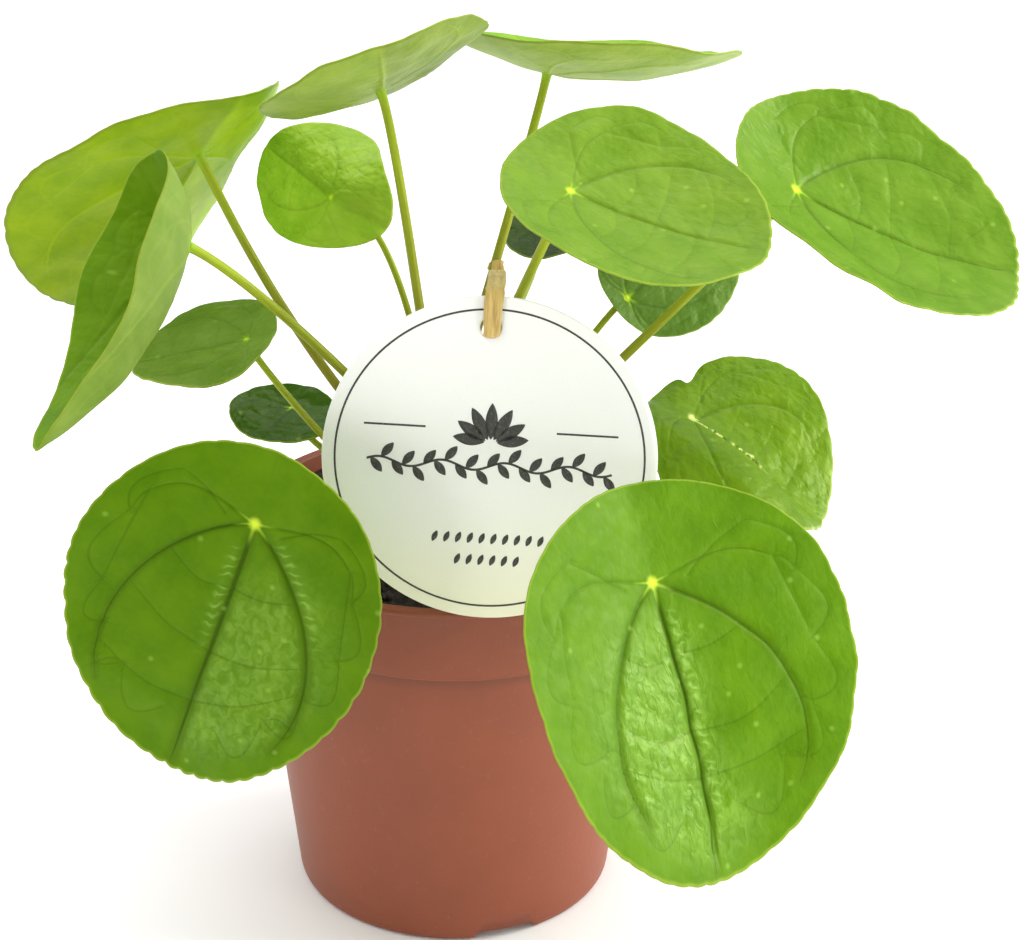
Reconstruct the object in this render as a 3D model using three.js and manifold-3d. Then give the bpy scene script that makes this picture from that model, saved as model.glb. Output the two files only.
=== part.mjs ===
// Potted Chinese money plant: a plastic nursery pot of soil, a short stem, and round shield
// leaves on long stalks, with a round paper tag tied to one stalk and leaning on the pot's rim.
// Units are millimetres, +Z is up, and the origin is the middle of the pot's underside.

import * as THREE from 'three';
import { mergeVertices } from 'three/addons/utils/BufferGeometryUtils.js';
import Module from 'manifold-3d';

const wasm = await Module();
wasm.setup();

// Driving dimensions
const SEAT_GAP = 0.3;
const POT = {
  height: 112, rimRadius: 60, footRadius: 45.5, wall: 1.2, floor: 1.5,
  collarHeight: 22, collarStep: 1.7, lipThickness: 1.8, lipOverhang: 0.4,
  padRadius: 24, channelHeight: 3.2, channelInner: 27, channelOuter: 39, footInner: 41.5,
  footRounding: 2.5, notches: 3, notchWidth: 17, notchHeight: 2.8, firstNotch: 19,
  holes: 6, holeRadius: 3, holeCircle: 33, turns: 48,
};
const SOIL = { top: 107, dish: 3.5, lump: 0.8, lumpWidth: 15, edgeDepth: 5, turns: 36, rings: 7 };
const STEM = {
  bottom: 81, top: 158, radius: 6.6, topRadius: 5.4, budRadius: 3, budHeight: 2.4,
  scarPitch: 7, scarDepth: 0.5, turns: 12,
};
const BLADE = {
  thickness: 1.0, scallop: 0.007, ripple: 0.7, rippleLength: 80, ripples: 5, creaseRadius: 4,
};
const TAG = {
  radius: 42.4, thickness: 0.8, bottom: [8.9, -61.2, 111.4], face: [-2, 7],
  holeRadius: 2.7, holeUp: 34.4, turns: 56,
};
const TIE = {
  holds: 'leaf_top_right', height: 181, width: 4.8, holeWidth: 3.4, loopWidth: 1.6, thickness: 1,
  clear: 1.4, legGap: 2.4, steps: 42, sides: 8,
};

const COLOURS = {
  pot: 0x96593f, soil: 0x1d1814, stem: 0x6f6a3c, tag: 0xf3f2ea, tie: 0xc9a961,
  leaf: 0x6f9f26, youngLeaf: 0x93b748, shadeLeaf: 0x4f7a34,
};

// Leaves. attach is where the stalk meets the blade; face is the way the upper side looks, as
// azimuth (0 towards -Y, 90 towards +X) and elevation; turn swings the tip away from the line of
// steepest fall. back is the distance from attach to the base margin, egg narrows the tip half.
// tip, base and side say how far those margins bend: tip and base down, side up; fold is the
// angle of each half about the midrib, and skew lifts one side and lowers the other. The stalk
// leaves the stem at height foot and azimuth from, rises at the angle rise, and reach and
// lead are the lengths over which it keeps its first and last directions.
const BIG = { segments: 40, rings: 3, stalk: [1.7, 1.3], stalkSteps: 11, stalkSides: 8 };
const FOLDED = { segments: 40, rings: 4, stalk: [1.6, 1.3], stalkSteps: 11, stalkSides: 8 };
const SMALL = { segments: 26, rings: 3, stalk: [1.3, 1.0], stalkSteps: 9, stalkSides: 6 };
const YOUNG = { segments: 18, rings: 2, stalk: [1.0, 0.8], stalkSteps: 5, stalkSides: 6 };
const LEAVES = [
  {
    name: 'leaf_front_left', ...BIG, attach: [-48, -82, 148], face: [-17, 10], turn: -18,
    length: 93, width: 77, back: 19, egg: 0.1, tip: 7.5, base: 1, side: 2.5, fold: 2.5, skew: -7.5,
    foot: 116, from: -30, rise: 20, reach: 25, lead: 25,
  },
  {
    name: 'leaf_front_right', ...BIG, attach: [48, -95, 139], face: [39, 33.5], turn: -5,
    length: 97, width: 97.5, back: 24, egg: 0.1, tip: 7, base: -2, side: 2, fold: 11, skew: 0.5,
    foot: 109, from: 62, rise: 8, reach: 66, lead: 20,
  },
  {
    name: 'leaf_right_folded', ...FOLDED, attach: [66, 5, 139], face: [101, 66.5], turn: -33,
    length: 58, width: 63, back: 13, egg: 0, tip: 11, base: 0.5, side: -15, fold: 32, skew: 17.5,
    foot: 108, from: 115, rise: 15, reach: 25, lead: 18,
  },
  {
    name: 'leaf_far_right', ...BIG, attach: [89.5, -5, 209], face: [54.5, 53], turn: 34,
    length: 87, width: 76, back: 22, egg: 0, tip: -11, base: -4.5, side: 8.5, fold: 5.5, skew: 2,
    foot: 113, from: 87, rise: 55, reach: 35, lead: 20,
  },
  {
    name: 'leaf_upper_right', ...BIG, attach: [28.5, -45, 221], face: [51.5, 62], turn: 24,
    length: 67, width: 69, back: 17.5, egg: 0.1, tip: -11.5, base: 1.5, side: 3.5, fold: 8, skew: 2,
    foot: 138, from: 18, rise: 70, reach: 12, lead: 12,
  },
  {
    name: 'leaf_top_right', ...BIG, attach: [25, 34, 230], face: [146, 72], turn: -45,
    length: 78.5, width: 73.5, back: 26.5, egg: 0, tip: -13.5, base: -5, side: 6.5, fold: 5, skew: 0,
    foot: 150, from: 149, rise: 75, reach: 12, lead: 12,
  },
  {
    name: 'leaf_top_left', ...BIG, attach: [-20, 6, 232.5], face: [-131, 58.5], turn: 142,
    length: 60, width: 63, back: 23, egg: 0, tip: -5, base: -0.5, side: 2, fold: 5, skew: -1,
    foot: 138, from: -120, rise: 78, reach: 12, lead: 12,
  },
  {
    name: 'leaf_small_upper_left', ...SMALL, attach: [-35, 35, 193], face: [-46, 22], turn: -107,
    length: 43.5, width: 33.5, back: 13.5, egg: 0, tip: -2.5, base: 11.5, side: -3, fold: -2, skew: 8,
    foot: 128, from: -155, rise: 35, reach: 20, lead: 30,
  },
  {
    name: 'leaf_far_left', ...BIG, attach: [-69, 12, 212.5], face: [-132, 37.5], turn: 0,
    length: 88.5, width: 91, back: 26, egg: 0, tip: 3.5, base: 2, side: 10.5, fold: 6, skew: -1.5,
    foot: 116, from: -86, rise: 50, reach: 65, lead: 6,
  },
  {
    name: 'leaf_left_folded', ...FOLDED, attach: [-66.7, -42, 205.4], face: [-67.6, 30.5], turn: 38.5,
    length: 86, width: 28, back: 20.5, egg: 0.4, tip: -27, base: -12.5, side: 3, fold: 49, skew: -0.5,
    foot: 127, from: -63, rise: 55, reach: 20, lead: 20,
  },
  {
    name: 'leaf_small_left', ...SMALL, attach: [-55, -15, 170], face: [-66, 77.5], turn: -24,
    length: 40, width: 45, back: 8.5, egg: 0.2, tip: 1, base: -2, side: -4, fold: 15, skew: -1,
    foot: 107, from: -76, rise: 25, reach: 14, lead: 6,
  },
  {
    name: 'leaf_low_left', ...SMALL, attach: [-47, 25, 133.5], face: [-26, 81.5], turn: 0,
    length: 26, width: 32, back: 9, egg: 0, tip: 1, base: -2.5, side: 1, fold: 0.5, skew: -1.5,
    foot: 108, from: -118, rise: 20, reach: 20, lead: 10,
  },
  {
    name: 'leaf_small_back', ...SMALL, attach: [24, 45, 180], face: [16, 79.5], turn: 26,
    length: 29, width: 25, back: 10, egg: 0, tip: -4, base: -1, side: -1, fold: 0, skew: 0,
    foot: 129, from: 152, rise: 50, reach: 55, lead: 20,
  },
  {
    name: 'leaf_under_right', ...SMALL, attach: [47.5, 15, 171], face: [28, 36.5], turn: 114,
    length: 48.5, width: 39.5, back: 6, egg: 0, tip: 0.5, base: -1.5, side: -0.5, fold: 1.5, skew: 0,
    foot: 121, from: 108, rise: 40, reach: 20, lead: 20,
  },
  {
    name: 'leaf_young_left', ...YOUNG, attach: [-10, -9, 165], face: [-45, 52], turn: 0,
    length: 19, width: 17, back: 6, egg: 0, tip: -2, base: -1, side: 2, fold: 12, skew: 0,
    foot: 148, from: -45, rise: 60, reach: 6, lead: 5,
  },
  {
    name: 'leaf_young_right', ...YOUNG, attach: [13, -1, 163], face: [80, 55], turn: 0,
    length: 16, width: 14, back: 5, egg: 0, tip: -2, base: -1, side: 2, fold: 18, skew: 0,
    foot: 150, from: 80, rise: 50, reach: 6, lead: 5,
  },
  {
    name: 'leaf_young_back', ...YOUNG, attach: [-2, 12, 164], face: [-172, 60], turn: 0,
    length: 12, width: 10, back: 4, egg: 0, tip: -2, base: -1, side: 2, fold: 22, skew: 0,
    foot: 153, from: -172, rise: 60, reach: 5, lead: 4,
  },
];

const radians = THREE.MathUtils.degToRad;
const vector = (x, y, z) => new THREE.Vector3(x, y, z);

// Solids

function bareGeometry(geometry) {
  const bare = geometry.clone();
  bare.deleteAttribute('normal');
  bare.deleteAttribute('uv');
  return mergeVertices(bare, 1e-4);
}

function solidOf(geometry) {
  const bare = bareGeometry(geometry);
  return new wasm.Manifold(new wasm.Mesh({
    numProp: 3,
    vertProperties: new Float32Array(bare.attributes.position.array),
    triVerts: new Uint32Array(bare.index.array),
  }));
}

function geometryOf(solid) {
  const mesh = solid.getMesh();
  const geometry = new THREE.BufferGeometry();
  geometry.setAttribute('position', new THREE.BufferAttribute(mesh.vertProperties, 3));
  geometry.setIndex(new THREE.BufferAttribute(mesh.triVerts, 1));
  return geometry;
}

function indexedGeometry(points, triangles) {
  const geometry = new THREE.BufferGeometry();
  const numbers = points.flatMap((point) => [point.x, point.y, point.z]);
  geometry.setAttribute('position', new THREE.Float32BufferAttribute(numbers, 3));
  geometry.setIndex(triangles.flat());
  return geometry;
}

function lathe(profile, turns) {
  const outline = profile.map(([radius, height]) => new THREE.Vector2(radius, height));
  return new THREE.LatheGeometry(outline, turns).rotateX(Math.PI / 2);
}

// Rings of points, each turning the same way about the direction in which they follow each
// other, make a tube with flat ends, or a closed loop.
function tube(rings, closed = false) {
  const sides = rings[0].length;
  const triangles = [];
  const spans = closed ? rings.length : rings.length - 1;
  for (let ring = 0; ring < spans; ring += 1) {
    const here = ring * sides;
    const next = ((ring + 1) % rings.length) * sides;
    for (let side = 0; side < sides; side += 1) {
      const after = (side + 1) % sides;
      triangles.push([here + side, here + after, next + after]);
      triangles.push([here + side, next + after, next + side]);
    }
  }
  if (!closed) {
    const last = (rings.length - 1) * sides;
    for (let side = 1; side < sides - 1; side += 1) {
      triangles.push([0, side + 1, side]);
      triangles.push([last, last + side, last + side + 1]);
    }
  }
  return indexedGeometry(rings.flat(), triangles);
}

function ringOf(centre, side, lift, sideRadius, liftRadius, count) {
  const ring = [];
  for (let index = 0; index < count; index += 1) {
    const angle = (index / count) * 2 * Math.PI;
    const point = centre.clone();
    point.addScaledVector(side, sideRadius * Math.cos(angle));
    point.addScaledVector(lift, liftRadius * Math.sin(angle));
    ring.push(point);
  }
  return ring;
}

function meshOf(name, geometry, colour, roughness) {
  const material = new THREE.MeshStandardMaterial({ color: colour, roughness, metalness: 0 });
  const mesh = new THREE.Mesh(geometry, material);
  mesh.name = name;
  return mesh;
}

// Pot: a tapered wall under a collar one step wider, on a flat middle pad and a notched foot

function wallRadius(height) {
  const top = POT.rimRadius - POT.collarStep;
  return POT.footRadius + (top - POT.footRadius) * (height / POT.height);
}

function collarRadius(height) {
  return wallRadius(height) + POT.collarStep;
}

function potProfile() {
  const collarBottom = POT.height - POT.collarHeight;
  const lipBottom = POT.height - POT.lipThickness;
  const round = POT.footRounding;
  const footEdge = [15, 45, 75].map((angle) => [
    wallRadius(0) - round + round * Math.sin(radians(angle)),
    round - round * Math.cos(radians(angle)),
  ]);
  const roof = POT.channelHeight + POT.floor;
  return [
    [0, 0],
    [POT.padRadius, 0],
    [POT.channelInner, POT.channelHeight],
    [POT.channelOuter, POT.channelHeight],
    [POT.footInner, 0],
    [wallRadius(0) - round, 0],
    ...footEdge,
    [wallRadius(round * 1.2), round * 1.2],
    [wallRadius(collarBottom), collarBottom],
    [collarRadius(collarBottom), collarBottom + 0.5],
    [collarRadius(lipBottom) - 0.2, lipBottom],
    [POT.rimRadius + POT.lipOverhang - 0.2, lipBottom + 0.4],
    [POT.rimRadius + POT.lipOverhang - 0.2, POT.height - 0.5],
    [POT.rimRadius - 0.3, POT.height],
    [wallRadius(POT.height) - POT.wall, POT.height],
    [wallRadius(roof) - POT.wall, roof],
    [POT.channelInner + 1, roof],
    [POT.padRadius + 1, POT.floor],
    [0, POT.floor],
  ];
}

function makePot() {
  let pot = solidOf(lathe(potProfile(), POT.turns));
  for (let index = 0; index < POT.notches; index += 1) {
    const notch = new THREE.BoxGeometry(POT.notchWidth, 12, POT.notchHeight * 2);
    notch.translate(0, -POT.footRadius, 0);
    notch.rotateZ(radians(POT.firstNotch + (360 / POT.notches) * index));
    pot = pot.subtract(solidOf(notch));
  }
  for (let index = 0; index < POT.holes; index += 1) {
    const hole = new THREE.CylinderGeometry(POT.holeRadius, POT.holeRadius, 10, 12);
    hole.rotateX(Math.PI / 2);
    hole.translate(0, -POT.holeCircle, POT.channelHeight);
    hole.rotateZ(radians((360 / POT.holes) * index));
    pot = pot.subtract(solidOf(hole));
  }
  return meshOf('pot', geometryOf(pot), COLOURS.pot, 0.5);
}

// Soil: fills the pot to just under the rim, lumpy on top, with a plain hole for the stem

function soilHeight(x, y) {
  const radius = Math.hypot(x, y);
  const dish = SOIL.dish * (1 - (radius / wallRadius(SOIL.top)) ** 2);
  const wave = (2 * Math.PI) / SOIL.lumpWidth;
  const lumps = Math.sin(wave * x + 1.3) * Math.cos(0.9 * wave * y - 0.4);
  const crumbs = Math.sin(2 * wave * x - 1.7 * wave * y) / 2;
  return SOIL.top - dish + SOIL.lump * (lumps + crumbs);
}

function makeSoil() {
  const bottom = POT.channelHeight + POT.floor + SEAT_GAP;
  const inside = (height) => wallRadius(height) - POT.wall - SEAT_GAP;
  const edge = inside(SOIL.top);
  const profile = [
    [0, POT.floor + SEAT_GAP],
    [POT.padRadius + 0.6, POT.floor + SEAT_GAP],
    [POT.channelInner + 0.6, bottom],
    [inside(bottom), bottom],
    [inside(SOIL.top - SOIL.edgeDepth), SOIL.top - SOIL.edgeDepth],
  ];
  const hole = STEM.radius + SEAT_GAP;
  for (let ring = 0; ring <= SOIL.rings; ring += 1) {
    profile.push([THREE.MathUtils.lerp(edge, hole, ring / SOIL.rings), SOIL.top]);
  }
  profile.push([hole, STEM.bottom - SEAT_GAP]);
  profile.push([0, STEM.bottom - SEAT_GAP]);
  const soil = lathe(profile, SOIL.turns);
  const places = soil.attributes.position;
  for (let index = 0; index < places.count; index += 1) {
    if (Math.abs(places.getZ(index) - SOIL.top) < 0.01) {
      places.setZ(index, soilHeight(places.getX(index), places.getY(index)));
    }
  }
  return meshOf('soil', bareGeometry(soil), COLOURS.soil, 0.95);
}

// Stem: a short woody rod ringed by the scars of fallen leaves, ending in a blunt bud

function stemRadius(height) {
  const rise = (height - STEM.bottom) / (STEM.top - STEM.bottom);
  return THREE.MathUtils.lerp(STEM.radius, STEM.topRadius, rise ** 2);
}

function makeStem() {
  const profile = [[0, STEM.bottom], [STEM.radius - 1, STEM.bottom]];
  const scars = Math.floor((STEM.top - STEM.bottom) / STEM.scarPitch);
  for (let scar = 0; scar < scars; scar += 1) {
    const height = STEM.bottom + STEM.scarPitch * (scar + 0.5);
    profile.push([stemRadius(height) - STEM.scarDepth, height]);
    profile.push([stemRadius(height), height + STEM.scarPitch * 0.35]);
  }
  profile.push([STEM.budRadius, STEM.top - 1]);
  profile.push([STEM.budRadius / 2, STEM.top + STEM.budHeight - 1]);
  profile.push([0, STEM.top + STEM.budHeight]);
  return meshOf('stem', bareGeometry(lathe(profile, STEM.turns)), COLOURS.stem, 0.8);
}

// Leaves: a thin wavy shield, with its stalk fused to the underside

function facing(azimuth, elevation) {
  const a = radians(azimuth);
  const e = radians(elevation);
  return vector(Math.sin(a) * Math.cos(e), -Math.cos(a) * Math.cos(e), Math.sin(e));
}

function leafAxes(leaf) {
  const [azimuth, elevation] = leaf.face;
  const a = radians(azimuth);
  const e = radians(elevation);
  const up = facing(azimuth, elevation);
  const fall = vector(Math.sin(a) * Math.sin(e), -Math.cos(a) * Math.sin(e), -Math.cos(e));
  const level = new THREE.Vector3().crossVectors(up, fall);
  const along = fall.multiplyScalar(Math.cos(radians(leaf.turn)));
  along.addScaledVector(level, Math.sin(radians(leaf.turn)));
  const across = new THREE.Vector3().crossVectors(up, along);
  return { up, along, across };
}

function bladeHeight(leaf, p, q, share, angle) {
  const half = leaf.width / 2;
  const end = p > 0 ? leaf.tip * (p / (leaf.length - leaf.back)) ** 2 : leaf.base * (p / leaf.back) ** 2;
  const sides = leaf.side * (q / half) ** 2 + leaf.skew * (q / half) * Math.abs(q / half);
  const crease = Math.tan(radians(leaf.fold)) * (Math.hypot(q, BLADE.creaseRadius) - BLADE.creaseRadius);
  const size = leaf.length / BLADE.rippleLength;
  const ripple = BLADE.ripple * size * share ** 3 * Math.sin(BLADE.ripples * angle + leaf.length);
  return sides + crease - end + ripple;
}

function bladeGeometry(leaf) {
  const { up, along, across } = leafAxes(leaf);
  const origin = vector(...leaf.attach);
  const middle = leaf.length / 2 - leaf.back;
  const place = (share, index, depth) => {
    const angle = (index / leaf.segments) * 2 * Math.PI;
    const reach = share * (1 + BLADE.scallop * share ** 4 * (index % 2 ? -1 : 1));
    const p = reach * (middle + (leaf.length / 2) * Math.cos(angle));
    const q = reach * (leaf.width / 2) * Math.sin(angle) * (1 - leaf.egg * Math.cos(angle));
    const height = bladeHeight(leaf, p, q, share, angle) - depth;
    return origin.clone().addScaledVector(along, p).addScaledVector(across, q).addScaledVector(up, height);
  };
  const points = [];
  for (const depth of [0, BLADE.thickness]) {
    points.push(place(0, 0, depth));
    for (let ring = 1; ring <= leaf.rings; ring += 1) {
      for (let index = 0; index < leaf.segments; index += 1) {
        points.push(place(ring / leaf.rings, index, depth));
      }
    }
  }
  const under = 1 + leaf.rings * leaf.segments;
  const triangles = [];
  const addPair = (a, b, c) => {
    triangles.push([a, b, c]);
    triangles.push([under + a, under + c, under + b]);
  };
  for (let index = 0; index < leaf.segments; index += 1) {
    const after = (index + 1) % leaf.segments;
    addPair(0, 1 + index, 1 + after);
    for (let ring = 1; ring < leaf.rings; ring += 1) {
      const inner = 1 + (ring - 1) * leaf.segments;
      const outer = inner + leaf.segments;
      addPair(inner + index, outer + index, outer + after);
      addPair(inner + index, outer + after, inner + after);
    }
    const rim = 1 + (leaf.rings - 1) * leaf.segments;
    triangles.push([rim + index, under + rim + index, under + rim + after]);
    triangles.push([rim + index, under + rim + after, rim + after]);
  }
  return indexedGeometry(points, triangles);
}

function stalkCurve(leaf) {
  const { up } = leafAxes(leaf);
  const outward = facing(leaf.from, 0);
  const start = outward.clone().multiplyScalar(stemRadius(leaf.foot) + SEAT_GAP);
  start.z = leaf.foot;
  const end = vector(...leaf.attach).addScaledVector(up, -BLADE.thickness / 2);
  const first = start.clone().addScaledVector(facing(leaf.from, leaf.rise), leaf.reach);
  const last = end.clone().addScaledVector(up, -leaf.lead);
  return new THREE.CubicBezierCurve3(start, first, last, end);
}

// The stalk's foot is cut flat against the stem; further on each ring is square to the curve.
function stalkGeometry(leaf) {
  const curve = stalkCurve(leaf);
  const side = new THREE.Vector3().crossVectors(vector(0, 0, 1), facing(leaf.from, 0));
  const rings = [];
  for (let step = 0; step <= leaf.stalkSteps; step += 1) {
    const share = step / leaf.stalkSteps;
    const centre = curve.getPointAt(share);
    const along = step === 0 ? facing(leaf.from, 0) : curve.getTangentAt(share);
    side.addScaledVector(along, -side.dot(along)).normalize();
    const lift = new THREE.Vector3().crossVectors(along, side);
    const radius = THREE.MathUtils.lerp(leaf.stalk[0], leaf.stalk[1], Math.sqrt(share));
    rings.push(ringOf(centre, side, lift, radius, radius, leaf.stalkSides));
  }
  return tube(rings);
}

function makeLeaf(leaf) {
  const whole = solidOf(bladeGeometry(leaf)).add(solidOf(stalkGeometry(leaf)));
  const shaded = ['leaf_small_left', 'leaf_low_left', 'leaf_small_back', 'leaf_under_right'];
  let colour = leaf.name.includes('young') ? COLOURS.youngLeaf : COLOURS.leaf;
  if (shaded.includes(leaf.name)) {
    colour = COLOURS.shadeLeaf;
  }
  return meshOf(leaf.name, geometryOf(whole), colour, 0.45);
}

// Tag: a round card with a punched hole, its bottom edge just outside the rim

function tagPlace() {
  const front = facing(...TAG.face);
  const side = vector(Math.cos(radians(TAG.face[0])), Math.sin(radians(TAG.face[0])), 0);
  const rise = new THREE.Vector3().crossVectors(front, side);
  const centre = vector(...TAG.bottom).addScaledVector(rise, TAG.radius);
  return { front, side, rise, centre };
}

function makeTag() {
  const outline = new THREE.Shape();
  outline.absarc(0, 0, TAG.radius, 0, 2 * Math.PI, false);
  const hole = new THREE.Path();
  hole.absarc(0, TAG.holeUp, TAG.holeRadius, 0, 2 * Math.PI, true);
  outline.holes.push(hole);
  const card = new THREE.ExtrudeGeometry(outline, {
    depth: TAG.thickness, bevelEnabled: false, curveSegments: TAG.turns,
  });
  card.translate(0, 0, -TAG.thickness);
  const { front, side, rise, centre } = tagPlace();
  const tag = meshOf('tag', bareGeometry(card), COLOURS.tag, 0.7);
  tag.setRotationFromMatrix(new THREE.Matrix4().makeBasis(side, rise, front));
  tag.position.copy(centre);
  return tag;
}

// Tie: one flat loop of raffia, through the tag's hole, over its top edge and round a stalk

function stalkPointAtHeight(leaf, height) {
  const curve = stalkCurve(leaf);
  const points = curve.getSpacedPoints(200);
  const nearest = points.reduce((best, point) => (
    Math.abs(point.z - height) < Math.abs(best.z - height) ? point : best));
  const share = points.indexOf(nearest) / 200;
  return { point: nearest, axis: curve.getTangentAt(share) };
}

function tieRoute() {
  const { front, side, rise, centre } = tagPlace();
  const held = LEAVES.find((leaf) => leaf.name === TIE.holds);
  const hole = centre.clone().addScaledVector(rise, TAG.holeUp);
  hole.addScaledVector(front, -TAG.thickness / 2);
  const stalk = stalkPointAtHeight(held, TIE.height);
  const reach = held.stalk[0] + TIE.thickness / 2 + 2 * SEAT_GAP;
  const ahead = TAG.thickness / 2 + TIE.clear - TIE.thickness / 2;
  const edge = TAG.radius - TAG.holeUp;
  const onTag = (right, up, out) => hole.clone()
    .addScaledVector(side, right).addScaledVector(rise, up).addScaledVector(front, out);
  const atStalk = (x, y, z) => stalk.point.clone().add(vector(x, y, z));
  const overCard = onTag(0, edge + TIE.clear, -4);
  const above = TIE.legGap / 2;
  return [
    [onTag(0, 0, 0), side, TIE.holeWidth],
    [onTag(0, 2, ahead), side, TIE.holeWidth],
    [onTag(0, edge, ahead), side, TIE.width],
    [onTag(0, edge + TIE.clear, 0), side, TIE.width],
    [overCard, side, TIE.width],
    [overCard.clone().lerp(atStalk(0, 0, above), 0.5), side, TIE.width],
    [atStalk(0, -reach - 5, above), side, TIE.width * 0.8],
    [atStalk(-0.3 * reach, -reach, above), side, TIE.loopWidth],
    [atStalk(-reach, 0, above / 2), stalk.axis, TIE.loopWidth],
    [atStalk(0, reach, 0), stalk.axis, TIE.loopWidth],
    [atStalk(reach, 0, -above / 2), stalk.axis, TIE.loopWidth],
    [atStalk(0.3 * reach, -reach, -above), side, TIE.loopWidth],
    [onTag(0, 1, -30), side, TIE.loopWidth],
    [onTag(0, 0, -6), side, TIE.holeWidth],
  ];
}

function makeTie() {
  const route = tieRoute();
  const path = new THREE.CatmullRomCurve3(route.map(([point]) => point), true);
  const widths = new THREE.CatmullRomCurve3(route.map(([, , width]) => vector(width, 0, 0)), true);
  const turns = new THREE.CatmullRomCurve3(route.map(([, direction]) => direction), true);
  const rings = [];
  for (let step = 0; step < TIE.steps; step += 1) {
    const share = step / TIE.steps;
    const along = path.getTangent(share);
    const across = turns.getPoint(share);
    across.addScaledVector(along, -across.dot(along)).normalize();
    const flat = new THREE.Vector3().crossVectors(along, across);
    const width = widths.getPoint(share).x;
    rings.push(ringOf(path.getPoint(share), across, flat, width / 2, TIE.thickness / 2, TIE.sides));
  }
  return meshOf('tie', tube(rings, true), COLOURS.tie, 0.8);
}

const plant = new THREE.Group();
plant.add(makePot(), makeSoil(), makeStem());
for (const leaf of LEAVES) {
  plant.add(makeLeaf(leaf));
}
plant.add(makeTag(), makeTie());

export default plant;
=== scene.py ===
"""Looks of a potted Chinese money plant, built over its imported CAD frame.

Lengths are named in millimetres, as in the plant's CAD source, and become metres where a mesh is
made. +Z is up, the origin is the middle of the pot's underside, and -Y is the front. A leaf's own
plane has p running from the stalk to the tip and q across it, to the right seen from above.
"""

import math

import bpy
import numpy as np
from mathutils import Matrix, Vector


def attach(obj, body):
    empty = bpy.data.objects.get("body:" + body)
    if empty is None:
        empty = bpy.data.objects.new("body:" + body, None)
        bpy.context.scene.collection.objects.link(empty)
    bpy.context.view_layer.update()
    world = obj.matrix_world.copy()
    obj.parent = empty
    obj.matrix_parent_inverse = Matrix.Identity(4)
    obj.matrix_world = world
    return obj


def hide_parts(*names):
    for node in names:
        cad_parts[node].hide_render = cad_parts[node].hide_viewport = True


bl_info = {
    "name": "Potted Chinese money plant",
    "version": (1, 0, 0),
    "blender": (4, 5, 0),
    "location": "3D View > Sidebar > Money plant",
    "description": "Builds the leaves, pot, soil and tag of a potted Chinese money plant",
    "category": "Add Mesh",
}

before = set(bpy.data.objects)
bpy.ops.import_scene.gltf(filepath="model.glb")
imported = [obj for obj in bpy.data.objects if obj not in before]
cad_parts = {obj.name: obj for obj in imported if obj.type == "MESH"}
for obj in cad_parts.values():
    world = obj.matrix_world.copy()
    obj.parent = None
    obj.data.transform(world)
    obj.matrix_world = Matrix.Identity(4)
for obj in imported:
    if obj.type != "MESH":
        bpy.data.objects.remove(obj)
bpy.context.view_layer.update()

MM = 0.001

# Driving dimensions, the same as in the CAD source
SEAT_GAP = 0.3
POT = {
    "height": 112, "rim_radius": 60, "foot_radius": 45.5, "wall": 1.2, "floor": 1.5,
    "collar_height": 22, "collar_step": 1.7, "lip_thickness": 1.8, "lip_overhang": 0.4,
    "pad_radius": 24, "channel_height": 3.2, "channel_inner": 27, "channel_outer": 39,
    "foot_inner": 41.5, "foot_rounding": 2.5, "notches": 3, "notch_width": 17,
    "notch_height": 2.8, "first_notch": 19, "holes": 6, "hole_radius": 3, "hole_circle": 33,
}
SOIL = {"top": 107, "dish": 3.5, "lump": 0.8, "lump_width": 15, "edge_depth": 5}
STEM = {
    "bottom": 81, "top": 158, "radius": 6.6, "top_radius": 5.4, "bud_radius": 3,
    "bud_height": 2.4, "scar_pitch": 7, "scar_depth": 0.5,
}
BLADE = {
    "thickness": 1.0, "ripple": 0.7, "ripple_length": 80, "ripples": 5, "crease_radius": 4,
}
# What only this script has: the margin's roundness and thinness, how far a stalk's foot reaches
# into the stem, and the ridges that pucker the skin beside a strong vein, in millimetres
EDGE_BULGE = 0.25
EDGE_THINNING = 0.45
SUNK_FOOT = 1.2
PUCKERS = {"away": 2.5, "width": 1.25, "spacing": 2.8, "slant": -0.4, "wander": 4.0}
TAG = {
    "radius": 42.4, "thickness": 0.8, "bottom": (8.9, -61.2, 111.4), "face": (-2, 7),
    "hole_radius": 2.7, "hole_up": 34.4,
}
TIE = {
    "holds": "leaf_top_right", "height": 181, "width": 4.8, "hole_width": 3.4,
    "loop_width": 1.6, "thickness": 1, "clear": 1.4, "leg_gap": 2.4,
}

# What leaves share unless their row says otherwise. spread widens or narrows the fan of veins to
# the left and right of the midrib, and weights thickens or thins the strong vein there. ridges is
# the side where the skin puckers along the midrib, the left and the right vein (1 right, -1 left),
# up to about ridge_reach mm from the stalk. panel is the side of a quilted panel with a painted
# sheen, overlap says whether it shows past the midrib, and the pair after it is painted light and
# shade: the brightness of the left and right half. trims are dents of the margin: where and how
# wide in degrees, and the share that is cut. Next, the crease's strength paints highlights and
# shade along a crease in pale and dark flecks. edge, veins, pucker, quilt and gloss scale the
# margin's scallops, the veins' darkness and painted shade, the puckers and their painted
# highlights, the quilting and the shine.
LEAF = dict(
    egg=0, radii=(1.7, 1.3), spread=(1, 1), weights=(1, 1), ridges=(-1, 0, 1), ridge_reach=36,
    panel=0, overlap=0, painted_half_light=(1, 1), trims=(), painted_crease=0, pucker=0.15, quilt=0.5, gloss=0.34,
)
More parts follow.
